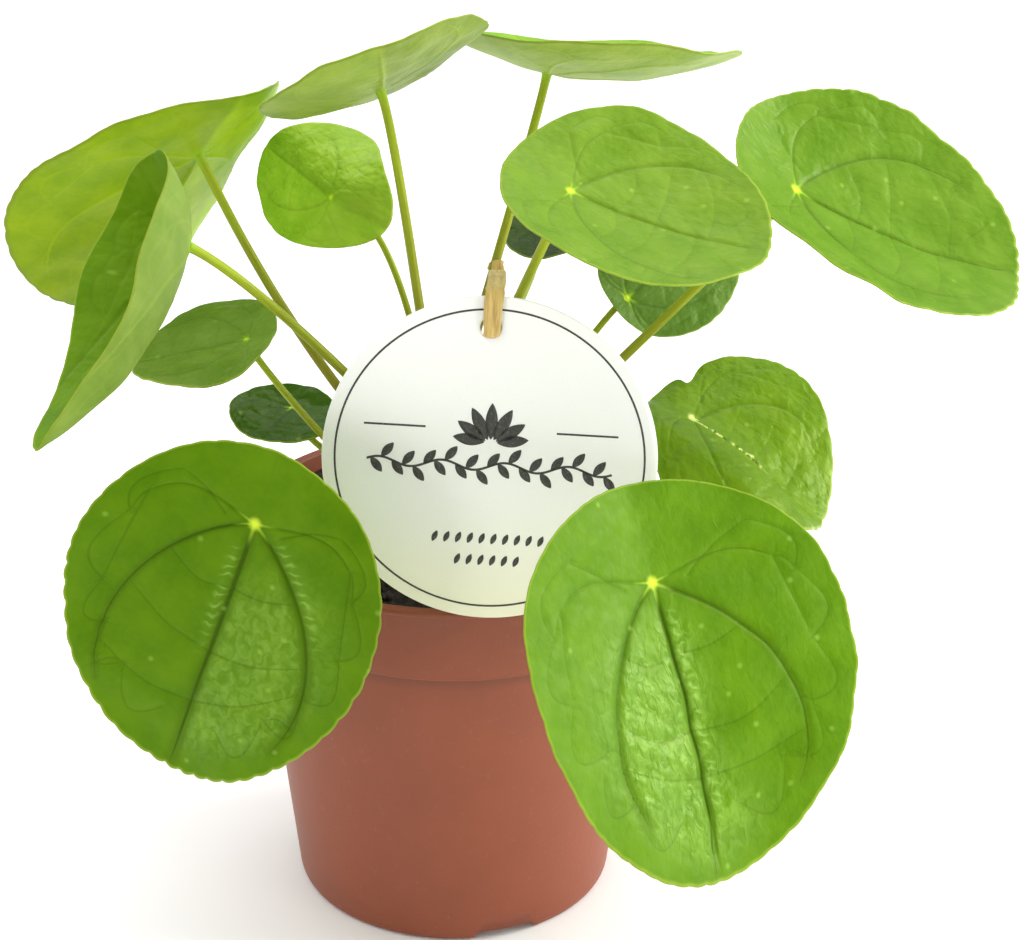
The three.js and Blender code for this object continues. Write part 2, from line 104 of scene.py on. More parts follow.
# Leaves: the same rows as in the CAD source, with the colours of the two sides
LEAVES = [{**LEAF, **row} for row in (
    dict(
        name="leaf_front_left", attach=(-48, -82, 148), face=(-17, 10), turn=-18,
        length=93, width=77, back=19, egg=0.1, tip=7.5, base=1, side=2.5, fold=2.5, skew=-7.5,
        foot=116, azimuth=-30, rise=20, reach=25, lead=25,
        upper=0x4D7703, under=0x8FAE34, spread=(1.0, 0.95), weights=(0.6, 1), panel=1, edge=0.9,
        veins=1.0, pucker=0.9, quilt=0.4, gloss=0.3,
    ),
    dict(
        name="leaf_front_right", attach=(48, -95, 139), face=(39, 33.5), turn=-5,
        length=97, width=97.5, back=24, egg=0.1, tip=7, base=-2, side=2, fold=11, skew=0.5,
        foot=109, azimuth=62, rise=8, reach=66, lead=20,
        upper=0x4E7A03, under=0x8FAE34, spread=(0.76, 0.92), panel=-1, overlap=1, edge=0.5,
        veins=0.85, pucker=0.7, quilt=0.8, gloss=0.32, ridges=(1, 0, 0), ridge_reach=62,
    ),
    dict(
        name="leaf_right_folded", attach=(66, 5, 139), face=(101, 66.5), turn=-33,
        length=58, width=63, back=13, tip=11, base=0.5, side=-15, fold=32, skew=17.5,
        foot=108, azimuth=115, rise=15, reach=25, lead=18, radii=(1.6, 1.3),
        upper=0x618513, under=0x93AE3C, painted_half_light=(0.97, 1.04), painted_crease=1.0, trims=((151, 5, 0.27),),
        edge=0.6, veins=0.35, gloss=0.3,
    ),
    dict(
        name="leaf_far_right", attach=(89.5, -5, 209), face=(54.5, 53), turn=34,
        length=87, width=76, back=22, tip=-11, base=-4.5, side=8.5, fold=5.5, skew=2,
        foot=113, azimuth=87, rise=55, reach=35, lead=20,
        upper=0x5D831D, under=0x97B53E, edge=0.7, veins=0.5, pucker=0.1, quilt=0.25, gloss=0.12,
    ),
    dict(
        name="leaf_upper_right", attach=(28.5, -45, 221), face=(51.5, 62), turn=24,
        length=67, width=69, back=17.5, egg=0.1, tip=-11.5, base=1.5, side=3.5, fold=8, skew=2,
        foot=138, azimuth=18, rise=70, reach=12, lead=12,
        upper=0x658A1E, under=0x97B53E, edge=0.35, veins=0.38, pucker=0.1, quilt=0.25, gloss=0.25,
    ),
    dict(
        name="leaf_top_right", attach=(25, 34, 230), face=(146, 72), turn=-45,
        length=78.5, width=73.5, back=26.5, tip=-13.5, base=-5, side=6.5, fold=5, skew=0,
        foot=150, azimuth=149, rise=75, reach=12, lead=12,
        upper=0x74A620, under=0x92AC42, edge=0.35, veins=0.6,
    ),
    dict(
        name="leaf_top_left", attach=(-20, 6, 232.5), face=(-131, 58.5), turn=142,
        length=60, width=63, back=23, tip=-5, base=-0.5, side=2, fold=5, skew=-1,
        foot=138, azimuth=-120, rise=78, reach=12, lead=12,
        upper=0x74A620, under=0x849C39, painted_half_light=(1.15, 0.88), edge=0.35, veins=0.6,
    ),
    dict(
        name="leaf_small_upper_left", attach=(-35, 35, 193), face=(-46, 22), turn=-107,
        length=43.5, width=33.5, back=13.5, tip=-2.5, base=11.5, side=-3, fold=-2, skew=8,
        foot=128, azimuth=-155, rise=35, reach=20, lead=30, radii=(1.3, 1.0),
        upper=0x8BB42C, under=0x97B53E, painted_half_light=(0.9, 1.2), edge=0.2, veins=0.35, quilt=1.5,
        gloss=0.6,
    ),
    dict(
        name="leaf_far_left", attach=(-69, 12, 212.5), face=(-132, 37.5), turn=0,
        length=88.5, width=91, back=26, tip=3.5, base=2, side=10.5, fold=6, skew=-1.5,
        foot=116, azimuth=-86, rise=50, reach=65, lead=6,
        upper=0x6A9A16, under=0x86A514, trims=((222, 24, 0.09),), painted_half_light=(1.3, 1), edge=0.6,
        veins=0.25,
    ),
    dict(
        name="leaf_left_folded", attach=(-66.7, -42, 205.4), face=(-67.6, 30.5), turn=38.5,
        length=86, width=28, back=20.5, egg=0.4, tip=-27, base=-12.5, side=3, fold=49, skew=-0.5,
        foot=127, azimuth=-63, rise=55, reach=20, lead=20, radii=(1.6, 1.3),
        upper=0x58800D, under=0x728D36, edge=0.2, veins=0.3, gloss=0.15,
    ),
    dict(
        name="leaf_small_left", attach=(-55, -15, 170), face=(-66, 77.5), turn=-24,
        length=40, width=45, back=8.5, egg=0.2, tip=1, base=-2, side=-4, fold=15, skew=-1,
        foot=107, azimuth=-76, rise=25, reach=14, lead=6, radii=(1.3, 1.0),
        upper=0x6A8A32, under=0x7E9A3C, edge=0.4, veins=0.3,
    ),
    dict(
        name="leaf_low_left", attach=(-47, 25, 133.5), face=(-26, 81.5), turn=0,
        length=26, width=32, back=9, tip=1, base=-2.5, side=1, fold=0.5, skew=-1.5,
        foot=108, azimuth=-118, rise=20, reach=20, lead=10, radii=(1.3, 1.0),
        upper=0x355814, under=0x6F8A3C, edge=0.4, veins=0.25,
    ),
    dict(
        name="leaf_small_back", attach=(24, 45, 180), face=(16, 79.5), turn=26,
        length=29, width=25, back=10, tip=-4, base=-1, side=-1, fold=0, skew=0,
        foot=129, azimuth=152, rise=50, reach=55, lead=20, radii=(1.3, 1.0),
        upper=0x1F4003, under=0x6F8A3C, edge=0.4, veins=0.4,
    ),
    dict(
        name="leaf_under_right", attach=(47.5, 15, 171), face=(28, 36.5), turn=114,
        length=48.5, width=39.5, back=6, tip=0.5, base=-1.5, side=-0.5, fold=1.5, skew=0,
        foot=121, azimuth=108, rise=40, reach=20, lead=20, radii=(1.3, 1.0),
        upper=0x55752A, under=0x6F8A3C, edge=0.5, veins=0.3, pucker=0.1, quilt=0.6, gloss=0.12,
    ),
    dict(
        name="leaf_young_left", attach=(-10, -9, 165), face=(-45, 52), turn=0,
        length=19, width=17, back=6, tip=-2, base=-1, side=2, fold=12, skew=0,
        foot=148, azimuth=-45, rise=60, reach=6, lead=5, radii=(1.0, 0.8),
        upper=0x8CB83C, under=0xA5C262, edge=0.3, veins=0.4,
    ),
    dict(
        name="leaf_young_right", attach=(13, -1, 163), face=(80, 55), turn=0,
        length=16, width=14, back=5, tip=-2, base=-1, side=2, fold=18, skew=0,
        foot=150, azimuth=80, rise=50, reach=6, lead=5, radii=(1.0, 0.8),
        upper=0x93BE44, under=0xA5C262, edge=0.3, veins=0.4,
    ),
    dict(
        name="leaf_young_back", attach=(-2, 12, 164), face=(-172, 60), turn=0,
        length=12, width=10, back=4, tip=-2, base=-1, side=2, fold=22, skew=0,
        foot=153, azimuth=-172, rise=60, reach=5, lead=4, radii=(1.0, 0.8),
        upper=0x9AC44C, under=0xA5C262, edge=0.3, veins=0.4,
    ),
)]
# Plant wax mirrors yellow-green light more than blue, because the leaf glows through it.
WAX_TINT = (0.85, 1, 0.2, 1)
# These leaves sit low under the others, and their darker colours paint in their shade.
SHADED_LEAVES = ("leaf_small_left", "leaf_low_left", "leaf_small_back", "leaf_under_right")

# Kinds of vein: the half-width at the start and at the end in millimetres, how many of these wide
# the valley is, and how deep it is in millimetres
VEINS = {
    "mid": (0.55, 0.28, 1.5, 0.5), "side": (0.45, 0.22, 1.5, 0.36),
    "wide": (0.36, 0.18, 1.6, 0.22), "net": (0.3, 0.2, 1.8, 0.14),
}
# A chart's side stands for so many millimetres.
CHART = 100

# The tag's print: what hangs inside the ring leans by so many degrees, and ink stands up a little
# from the card. A rule runs between two distances from the middle, at a height. The fan has the
# angles and lengths of its leaves, whose feet lie on a small oval, and each row has its height,
# reach and number of leaves. A kind of leaf has a length and a width.
PRINT = {
    "lean": -2.4, "line": 0.25, "stem": 0.3, "proud": 0.05, "sunk": -0.1,
    "rule": (16.5, 32), "rule_up": 8.0,
    "fan": ((90, 9.5), (62, 9.2), (118, 9.2), (34, 8.6), (146, 8.6), (8, 8), (172, 8)),
    "fan_up": 4.6, "fan_oval": (1.6, 0.9), "fan_width": 3.0,
    "garland": (-31, 31), "garland_up": -1.6, "garland_wave": 1.1, "garland_length": 16,
    "garland_leaves": (-30, 29, 23), "garland_leaf": (4.8, 2.1), "garland_angle": 52,
    "rows": ((-22.3, 13.5, 10), (-28.1, 7.5, 6)), "row_leaf": (3.1, 1.3), "row_angle": 68,
}

# Stage: where each lamp stands and looks, its width, and its power beside the main one's
FLOOR_REACH = 4000
LAMPS = {
    "window": ((1000, 120, 480), (0, 0, 140), 600, 1),
    "door": ((-1000, 60, 330), (0, 0, 140), 400, 0.18),
    "fill": ((-560, -830, 240), (0, 0, 140), 300, 0.14),
    "low": ((800, -560, 90), (0, 0, 80), 260, 0.25),
    "ceiling": ((0, 300, 1600), (0, 300, 0), 2400, 3.3),
}

# Tints that no setting changes
TINTS = {
    "pot_shade": 0x5A3023, "bark_chip": 0x6B4A2E, "pale_grain": 0xB9B2A2,
    "card_speck": 0xC9C6B4, "worn_ink": 0x8C8B84, "floor_cloud": 0xFDFDFD,
}

# Settings that many shader nodes share
FLAT = {"noise_dimensions": "2D"}
EASED = {"interpolation_type": "SMOOTHSTEP"}
TINTED = {"data_type": "RGBA"}
TIMES = {"operation": "MULTIPLY"}
TIMES_PLUS = {"operation": "MULTIPLY_ADD"}
UNSIGNED = {"operation": "ABSOLUTE"}


# Colours

def linear(hexadecimal):
    """Turns an sRGB hex colour into the linear RGBA that Blender's sockets hold."""
    channels = [(hexadecimal >> shift & 255) / 255 for shift in (16, 8, 0)]
    return (*[c / 12.92 if c <= 0.04045 else ((c + 0.055) / 1.055) ** 2.4 for c in channels], 1.0)


def scaled(colour, factors):
    """A colour with its red, green and blue scaled, by one factor or by one each."""
    return (*np.multiply(colour[:3], factors), 1.0)


# Arrays

def smooth(low, high, values):
    """Zero below low, one above high, and an S-shaped curve between."""
    share = np.clip((values - low) / (high - low), 0, 1)
    return share * share * (3 - 2 * share)


def unit(vectors):
    return vectors / np.linalg.norm(vectors, axis=-1, keepdims=True)


def round_angles(count):
    """Even steps round a full turn, from zero."""
    return np.arange(count) / count * 2 * math.pi


def facing(azimuth, elevation):
    """The direction that azimuth (0 to -Y, 90 to +X) and elevation give."""
    a, e = math.radians(azimuth), math.radians(elevation)
    return np.array([math.sin(a) * math.cos(e), -math.cos(a) * math.cos(e), math.sin(e)])


def bezier(start, first, last, end, share):
    """The cubic curve through start and end that first and last pull on."""
    t = share[..., None]
    start, first, last, end = (np.asarray(point, float) for point in (start, first, last, end))
    return (
        start * (1 - t) ** 3 + first * 3 * t * (1 - t) ** 2 + last * 3 * t**2 * (1 - t) + end * t**3
    )


def closed_curve(points, steps):
    """A closed centripetal Catmull-Rom curve: each stretch between two points is a cubic whose end
    slopes come from its neighbours, weighed by the square roots of the distances between them."""
    before, here = np.roll(points, 1, 0), points
    after, beyond = np.roll(points, -1, 0), np.roll(points, -2, 0)

    def root(a, b):
        return np.sqrt(np.linalg.norm(b[:, :3] - a[:, :3], axis=1))[:, None]

    t0, t1, t2 = root(before, here), root(here, after), root(after, beyond)
    leave = ((here - before) / t0 - (after - before) / (t0 + t1) + (after - here) / t1) * t1
    arrive = ((after - here) / t1 - (beyond - here) / (t1 + t2) + (beyond - after) / t2) * t1
    place = np.arange(steps) / steps * len(points)
    stretch = place.astype(int)
    t = (place - stretch)[:, None]
    a, b, c, d = here[stretch], after[stretch], leave[stretch], arrive[stretch]
    return a + c * t + (3 * (b - a) - 2 * c - d) * t**2 + (2 * (a - b) + c + d) * t**3


def lumps(x, y, width, seed, waves=14):
    """A smooth random height between about -1 and 1: a sum of plane waves near that width."""
    chance = np.random.default_rng(seed)
    total = 0
    for _ in range(waves):
        angle, length = chance.uniform(0, 2 * math.pi), width * chance.uniform(0.6, 1.6)
        across = x * math.cos(angle) + y * math.sin(angle)
        total = total + np.sin(2 * math.pi * across / length + chance.uniform(0, 2 * math.pi))
    return total / math.sqrt(waves)


# Meshes

def grid_faces(rows, columns, first=0, closed=False):
    """Quads of a grid of points numbered row by row. The last column is joined to the first, and
    so is the last row if the grid is closed."""
    row = np.repeat(np.arange(rows if closed else rows - 1), columns)
    column = np.arange(len(row)) % columns
    next_row, next_column = (row + 1) % rows, (column + 1) % columns
    corners = [(row, column), (row, next_column), (next_row, next_column), (next_row, column)]
    return first + np.stack([r * columns + c for r, c in corners], 1)


def fan_faces(centre, first, columns):
    """Triangles from a centre point to a closed row of points."""
    column = np.arange(columns)
    return np.stack([np.full(columns, centre), first + column, first + (column + 1) % columns], 1)


def tube_shell(rings, closed=False, skin=0, **extra):
    """A closed skin over rings of points, rows of an array, with a fan over each open end. The
    points of a ring turn to the right about the way that the rings follow each other."""
    count, sides = rings.shape[:2]
    points = rings.reshape(-1, 3)
    faces = [(grid_faces(count, sides, closed=closed), skin)]
    if not closed:
        points = np.concatenate([points, rings[0].mean(0)[None], rings[-1].mean(0)[None]])
        faces.append((fan_faces(count * sides, 0, sides)[:, ::-1], skin))
        faces.append((fan_faces(count * sides + 1, (count - 1) * sides, sides), skin))
    return dict(points=points, faces=faces, **extra)


def turned_shell(radius, turn, height):
    """A skin turned about the upright axis, from the radius and height of each point."""
    return tube_shell(np.stack([radius * np.cos(turn), radius * np.sin(turn), height], 2))


def put_mesh(name, shells, materials):
    """Joins shells into one smooth object. A shell holds points in millimetres, pairs of faces and
    the place of their material, and numbers or charts that its points carry for the material."""
    points = np.concatenate([shell["points"] for shell in shells])
    starts = np.cumsum([0] + [len(shell["points"]) for shell in shells[:-1]])
    corners, sizes, skins = [], [], []
    for shell, start in zip(shells, starts):
        for faces, skin in shell["faces"]:
            corners.append((faces + start).ravel())
            sizes.append(np.full(len(faces), faces.shape[1]))
            skins.append(np.full(len(faces), skin))
    corners, sizes, skins = (np.concatenate(parts) for parts in (corners, sizes, skins))
    mesh = bpy.data.meshes.new(name)
    mesh.vertices.add(len(points))
    mesh.vertices.foreach_set("co", (points * MM).astype(np.float32).ravel())
    mesh.loops.add(len(corners))
    mesh.loops.foreach_set("vertex_index", corners.astype(np.int32))
    mesh.polygons.add(len(sizes))
    mesh.polygons.foreach_set("loop_start", (np.cumsum(sizes) - sizes).astype(np.int32))
    mesh.polygons.foreach_set("material_index", skins.astype(np.int32))
    mesh.update(calc_edges=True)
    mesh.shade_smooth()
    for kind, size in (("numbers", ()), ("charts", (2,))):
        for key in sorted({key for shell in shells for key in shell.get(kind, {})}):
            values = np.concatenate([
                np.broadcast_to(shell.get(kind, {}).get(key, 0.0), (len(shell["points"]), *size))
                for shell in shells
            ]).astype(np.float32)
            if kind == "numbers":
                mesh.attributes.new(key, "FLOAT", "POINT").data.foreach_set("value", values)
            else:
                mesh.uv_layers.new(name=key).data.foreach_set("uv", values[corners].ravel())
    for material in materials:
        mesh.materials.append(material)
    mesh.validate()
    piece = bpy.data.objects.new(name, mesh)
    bpy.context.scene.collection.objects.link(piece)
    return piece


def seat(piece, slot, *nodes):
    """Puts a finished piece on the plant: it rides on the root and stands for its CAD nodes."""
    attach(piece, "root")
    if nodes:
        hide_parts(*nodes)


# Materials

def node(tree, kind, settings=None, inputs=()):
    """Adds a node with its settings, and sets or links its inputs: a dict picks them by name, and
    a tuple fills them in their order. For noise that is the place, scale, detail and roughness,
    for a range the value, its low and high end, and what these two become, and for a mix the
    factor and the two colours."""
    made = tree.nodes.new(kind)
    for key, value in (settings or {}).items():
        setattr(made, key, value)
    sockets = [socket for socket in made.inputs if socket.enabled]
    if isinstance(inputs, dict):
        sockets = [next(socket for socket in sockets if socket.name == key) for key in inputs]
        inputs = inputs.values()
    for socket, value in zip(sockets, inputs):
        if isinstance(value, bpy.types.Node):
            value = next(output for output in value.outputs if output.enabled)
        if isinstance(value, bpy.types.NodeSocket):
            tree.links.new(value, socket)
        else:
            socket.default_value = value
    return made


def new_material(name):
    material = bpy.data.materials.new(name)
    material.use_nodes = True
    material.node_tree.nodes.clear()
    return material, material.node_tree


def finish_material(tree, inputs, relief=None):
    """Adds the shader and the output. relief holds a bump's strength, its height in millimetres
    and the node that draws it."""
    if relief:
        strength, rise, pattern = relief
        bump = {"Strength": strength, "Distance": rise * MM, "Height": pattern}
        inputs["Normal"] = node(tree, "ShaderNodeBump", None, bump)
    shader = node(tree, "ShaderNodeBsdfPrincipled", None, inputs)
    node(tree, "ShaderNodeOutputMaterial", None, {"Surface": shader})


# Leaf shape

def leaf_axes(leaf):
    azimuth, elevation = leaf["face"]
    a, e, turn = math.radians(azimuth), math.radians(elevation), math.radians(leaf["turn"])
    up = facing(azimuth, elevation)
    fall = np.array([math.sin(a) * math.sin(e), -math.cos(a) * math.sin(e), -math.cos(e)])
    along = fall * math.cos(turn) + np.cross(up, fall) * math.sin(turn)
    return up, along, np.cross(up, along)


def blade_plan(leaf, share, angle, reach=None):
    """Where a point lies in the leaf's plane: an egg-shaped oval, off centre on the stalk, shrunk
    towards the stalk by share, or by reach where the margin is scalloped."""
    reach = share if reach is None else reach
    middle = leaf["length"] / 2 - leaf["back"]
    p = reach * (middle + leaf["length"] / 2 * np.cos(angle))
    q = reach * leaf["width"] / 2 * np.sin(angle) * (1 - leaf["egg"] * np.cos(angle))
    return p, q


def blade_height(leaf, p, q, share, angle):
    """How far the blade stands off its plane: parabolas bend the tip, base and sides, a rounded
    crease folds it along the midrib, and a slow wave runs round the margin."""
    half = leaf["width"] / 2
    tip = leaf["tip"] * (p / (leaf["length"] - leaf["back"])) ** 2
    base = leaf["base"] * (p / leaf["back"]) ** 2
    sides = leaf["side"] * (q / half) ** 2 + leaf["skew"] * (q / half) * np.abs(q / half)
    radius = BLADE["crease_radius"]
    crease = math.tan(math.radians(leaf["fold"])) * (np.hypot(q, radius) - radius)
    ripple = BLADE["ripple"] * leaf["length"] / BLADE["ripple_length"] * share**3
    ripple = ripple * np.sin(BLADE["ripples"] * angle + leaf["length"])
    return sides + crease - np.where(p > 0, tip, base) + ripple


def vein_curves(leaf, seed):
    """Lines of the veins in the leaf's plane, by kind: the midrib, the two strong side veins that
    bow outwards, the faint wide pair beside the stalk, and the net of spokes that arches join near
    the margin. Each line is a cubic curve."""
    chance = np.random.default_rng(seed)
    tip, half = leaf["length"] - leaf["back"], leaf["width"] / 2
    share = np.linspace(0, 1, 20)

    def drawn(*points):
        return bezier(*[np.array(point) for point in points], share)

    def wobble(amount):
        return 1 + amount * chance.uniform(-1, 1)

    bend = half * 0.05 * chance.uniform(-1, 1, 3)
    curves = {"mid": [], "side": [], "wide": [], "net": []}
    midrib = [(0, 0), *zip((0.3 * tip, 0.65 * tip, 0.97 * tip), bend)]
    curves["mid"].append(drawn(*midrib))
    for sign, spread in zip((-1, 1), leaf["spread"]):
        bow = sign * half * spread
        strong = drawn(
            (0, 0), (0.12 * tip * wobble(0.2), 0.45 * bow), (0.42 * tip, 0.88 * bow),
            (0.75 * tip, 0.6 * bow * wobble(0.12)),
        )
        wide = drawn(
            (0, 0), (-0.02 * tip, sign * 0.25 * half), (-0.1 * tip, sign * 0.45 * half),
            (0.02 * tip, sign * 0.68 * half),
        )
        curves["side"].append(strong)
        curves["wide"].append(wide)
        ends = [(sign * 0.28, np.array(blade_plan(leaf, 0.8, sign * 0.28)))]
        for turn, vein in ((42, strong), (62, strong), (84, wide), (110, wide), (140, 0.3 * wide)):
            angle = sign * math.radians(turn * wobble(0.04))
            end = np.array(blade_plan(leaf, 0.79 * wobble(0.03), angle))
            start = vein[np.linalg.norm(vein - end, axis=1).argmin()]
            lift = np.array([-0.02 * tip * wobble(0.5), 0])
            middle = (start + end) / 2 + lift
            curves["net"].append(drawn(start, middle, middle, end))
            ends.append((angle, end))
        for (angle, start), (angle_after, end) in zip(ends, ends[1:]):
            crown = np.array(blade_plan(leaf, 1, (angle + angle_after) / 2))
            curves["net"].append(drawn(start, (start + 3 * crown) / 4, (end + 3 * crown) / 4, end))
        for place in (0.3, 0.52, 0.72):
            start = curves["mid"][0][int(place * wobble(0.08) * 19)]
            end = strong[min(int((place + 0.1) * wobble(0.08) * 19), 19)]
            middle = (start + end) / 2 + np.array([0.05 * tip * wobble(0.6), 0])
            curves["net"].append(drawn(start, middle, middle, end))
    return curves


def line_distance(points, line):
    """Signed distance from each point to a line of points, and the share of the line's length at
    the nearest place. It is negative to the left of the line's own way."""
    start, step = line[:-1], np.diff(line, axis=0)
    offset = points[:, None, :] - start
    place = np.clip((offset * step).sum(-1) / (step**2).sum(-1), 0, 1)
    gap = np.linalg.norm(offset - place[..., None] * step, axis=-1)
    nearest = gap.argmin(1)
    pick = np.arange(len(points)), nearest
    turned = step[nearest, 0] * offset[pick][:, 1] - step[nearest, 1] * offset[pick][:, 0]
    return np.where(turned < 0, -1, 1) * gap[pick], (nearest + place[pick]) / len(step)


def vein_distances(points, curves, weights, ridges):
    """For each kind of vein, how many half-widths away the nearest one is. The sign changes only
    where a vein is crossed, so the line stays sharp between the points that carry it. Also how
    many millimetres away the nearest strong vein is, how far along it that place lies, and
    whether it is on the side where the skin puckers, which is the positive one. The weights
    thicken or thin the left and right strong side veins, and ridges holds the puckered side of
    the midrib and of each of the two: 1 is right, -1 is left and 0 is neither."""
    distances = {}
    beside, run = np.full(len(points), 1e6), np.zeros(len(points))
    outer = np.ones(len(points))
    for kind, lines in curves.items():
        thick, thin = VEINS[kind][:2]
        found = []
        for number, line in enumerate(lines):
            distance, place = line_distance(points, line)
            outward = -1 if number % 2 == 0 else 1
            if kind == "side":
                distance = distance / weights[number]
            if kind in ("mid", "side"):
                ridge = ridges[number + (kind == "side")]
                closer = np.abs(distance) < beside
                length = np.linalg.norm(np.diff(line, axis=0), axis=1).sum()
                run = np.where(closer, place * length, run)
                outer = np.where(closer, ridge * distance if ridge else -1, outer)
                beside = np.where(closer, np.abs(distance), beside)
            half_width = (thick + (thin - thick) * place) * (1 - 0.7 * place**8)
            found.append(outward * distance / half_width)
        found = np.array(found)
        nearest = np.abs(found).argmin(0)
        distances[kind] = found[nearest, np.arange(len(points))]
    return distances, beside, run, outer


def blade_sheet(leaf, rings, segments, settings, curves, underside):
    """One side of a blade on a polar grid: the stalk's point, then rings out to the scalloped
    margin. The upper side sinks along its veins and swells between them, and the underside is
    the same surface set back by the blade's thickness, with its veins raised."""
    share = np.append(0, np.repeat(np.arange(1, rings + 1) / rings, segments))
    angle = np.append(0, np.tile(round_angles(segments), rings))
    perimeter = math.pi * (leaf["length"] + leaf["width"]) / 2
    lobes = max(round(perimeter / (settings.scallop_pitch / MM)), 8)
    uneven = angle + 0.04 * np.sin(3 * angle + leaf["length"]) + 0.012 * np.sin(7 * angle)
    lobe = np.abs(np.sin(lobes * uneven / 2)) ** 0.7
    deep = leaf["edge"] * settings.scallop_depth / MM * 4 / (leaf["length"] + leaf["width"])
    deep = deep * (0.7 + 0.15 * np.sin(4 * angle + 1) + 0.15 * np.sin(9 * angle + leaf["width"]))
    reach = share * (1 + deep * share**14 * (lobe - 0.75))
    for middle, wide, cut in leaf["trims"]:
        reach = reach * (1 - cut * share**6 * np.exp(-(((np.degrees(angle) - middle) / wide) ** 2)))
    p, q = blade_plan(leaf, share, angle, reach)
    height = blade_height(leaf, p, q, share, angle)
    plane = np.stack([p, q], 1)
    veins, beside, run, outer = vein_distances(plane, curves, leaf["weights"], leaf["ridges"])
    size = min(leaf["length"] / 80, 1)
    slow = lumps(p, q, 22 * size, round(leaf["length"])) * 0.35 * size * smooth(0, 0.6, share)
    fade = smooth(0, 0.12, share) * (1 - smooth(0.9, 1, share)) * size * settings.vein_depth / MM
    marks = fade * sum(
        VEINS[kind][3] * np.exp(-(away / VEINS[kind][2]) ** 2) for kind, away in veins.items()
    )
    cell = np.min([np.abs(away) * 0.35 for away in veins.values()], axis=0)
    swell = 0.3 * (1 - np.exp(-cell / 1.6)) * size * (1 - smooth(0.75, 1, share))
    if underside:
        thickness = BLADE["thickness"] - EDGE_THINNING * smooth(0.82, 1, share)
        height = height + slow - thickness - 0.8 * marks + 0.4 * swell
    else:
        height = height + slow - marks + swell
    up, along, across = leaf_axes(leaf)
    points = p[:, None] * along + q[:, None] * across + height[:, None] * up + leaf["attach"]
    numbers = {**{"vein_" + kind: value for kind, value in veins.items()}, "share": share}
    numbers["centre"] = np.hypot(p, q) / max(size, 0.4)
    numbers["beside"], numbers["run"] = beside, run
    reach = leaf["ridge_reach"]
    stretch = smooth(5, 12, run) * (1 - smooth(0.7 * reach, 1.2 * reach, run))
    numbers["pucker"] = stretch * np.exp(-(((outer - PUCKERS["away"]) / PUCKERS["width"]) ** 2))
    # Painted light and shade: each half of the blade gets its own brightness, blended across the
    # midrib.
    left, right = leaf["painted_half_light"]
    numbers["tone"] = left + (right - left) * smooth(-1.5, 1.5, q)
    # The panel is more quilted and shinier, and it carries a painted sheen in its colour.
    panel = q * leaf["panel"] > 0
    panel = panel * np.where(veins["side"] < 0, 1, 0.6 * np.exp(-((beside / 9) ** 2)))
    panel = panel * smooth(0, 3, beside) * smooth(4, 30, run) * (1 - smooth(0.8, 0.97, share))
    # Past the midrib the panel ends in a soft band that widens towards the tip.
    band = np.exp(-((q / (6 + 10 * smooth(40, 70, p))) ** 2)) * smooth(0, 1.2, np.abs(q))
    band = leaf["overlap"] * band * smooth(3, 15, p) * (1 - smooth(0.88, 1, share))
    numbers["panel"] = np.maximum(panel, band)
    quilt = np.stack([p + 0.6 * np.abs(q), np.abs(q)], 1)
    return points, numbers, {"Plan": plane / CHART, "Quilt": quilt / CHART}


def blade_shell(leaf, seed, settings):
    """Upper and lower side of a blade, joined by a rounded edge. Faces 0 use the upper skin and
    faces 1 the lower one."""
    big = leaf["length"] > 50
    young = leaf["length"] < 20
    segments, rings, rings_under = (288, 70, 36) if big else (72, 18, 9) if young else (180, 44, 22)
    curves = vein_curves(leaf, seed)
    above = blade_sheet(leaf, rings, segments, settings, curves, False)
    below = blade_sheet(leaf, rings_under, segments, settings, curves, True)
    edge = above[0][-segments:]
    outward = unit(edge - above[0][-2 * segments:-segments])
    middle = (edge + below[0][-segments:]) / 2 + outward * EDGE_BULGE
    first_below = len(above[0])
    first_middle = first_below + len(below[0])
    rim = first_below - segments
    rim_below = first_middle - segments
    column = np.arange(segments)
    after = (column + 1) % segments

    def strip(one, other):
        return np.stack([one + column, other + column, other + after, one + after], 1)

    def joined(kind):
        return {
            key: np.concatenate([above[kind][key], below[kind][key], above[kind][key][-segments:]])
            for key in above[kind]
        }

    faces = [
        (fan_faces(0, 1, segments), 0),
        (grid_faces(rings, segments, 1)[:, ::-1], 0),
        (strip(rim, first_middle), 0),
        (strip(first_middle, rim_below), 1),
        (grid_faces(rings_under, segments, first_below + 1), 1),
        (fan_faces(first_below, first_below + 1, segments)[:, ::-1], 1),
    ]
    points = np.concatenate([above[0], below[0], middle])
    return dict(points=points, faces=faces, numbers=joined(1), charts=joined(2))


def stalk_curve(leaf, share):
    """The stalk's centre line: a cubic that leaves the stem sideways at foot, and meets the
    underside of the blade square on. It starts a little inside the stem."""
    up = leaf_axes(leaf)[0]
    outward = facing(leaf["azimuth"], 0)
    start = outward * (stem_radius(leaf["foot"]) - SUNK_FOOT) + np.array([0, 0, leaf["foot"]])
    seat_point = outward * (stem_radius(leaf["foot"]) + SEAT_GAP) + np.array([0, 0, leaf["foot"]])
    end = np.array(leaf["attach"]) - up * BLADE["thickness"] / 2
    first = seat_point + facing(leaf["azimuth"], leaf["rise"]) * leaf["reach"]
    return bezier(start, first, end - up * leaf["lead"], end, share)


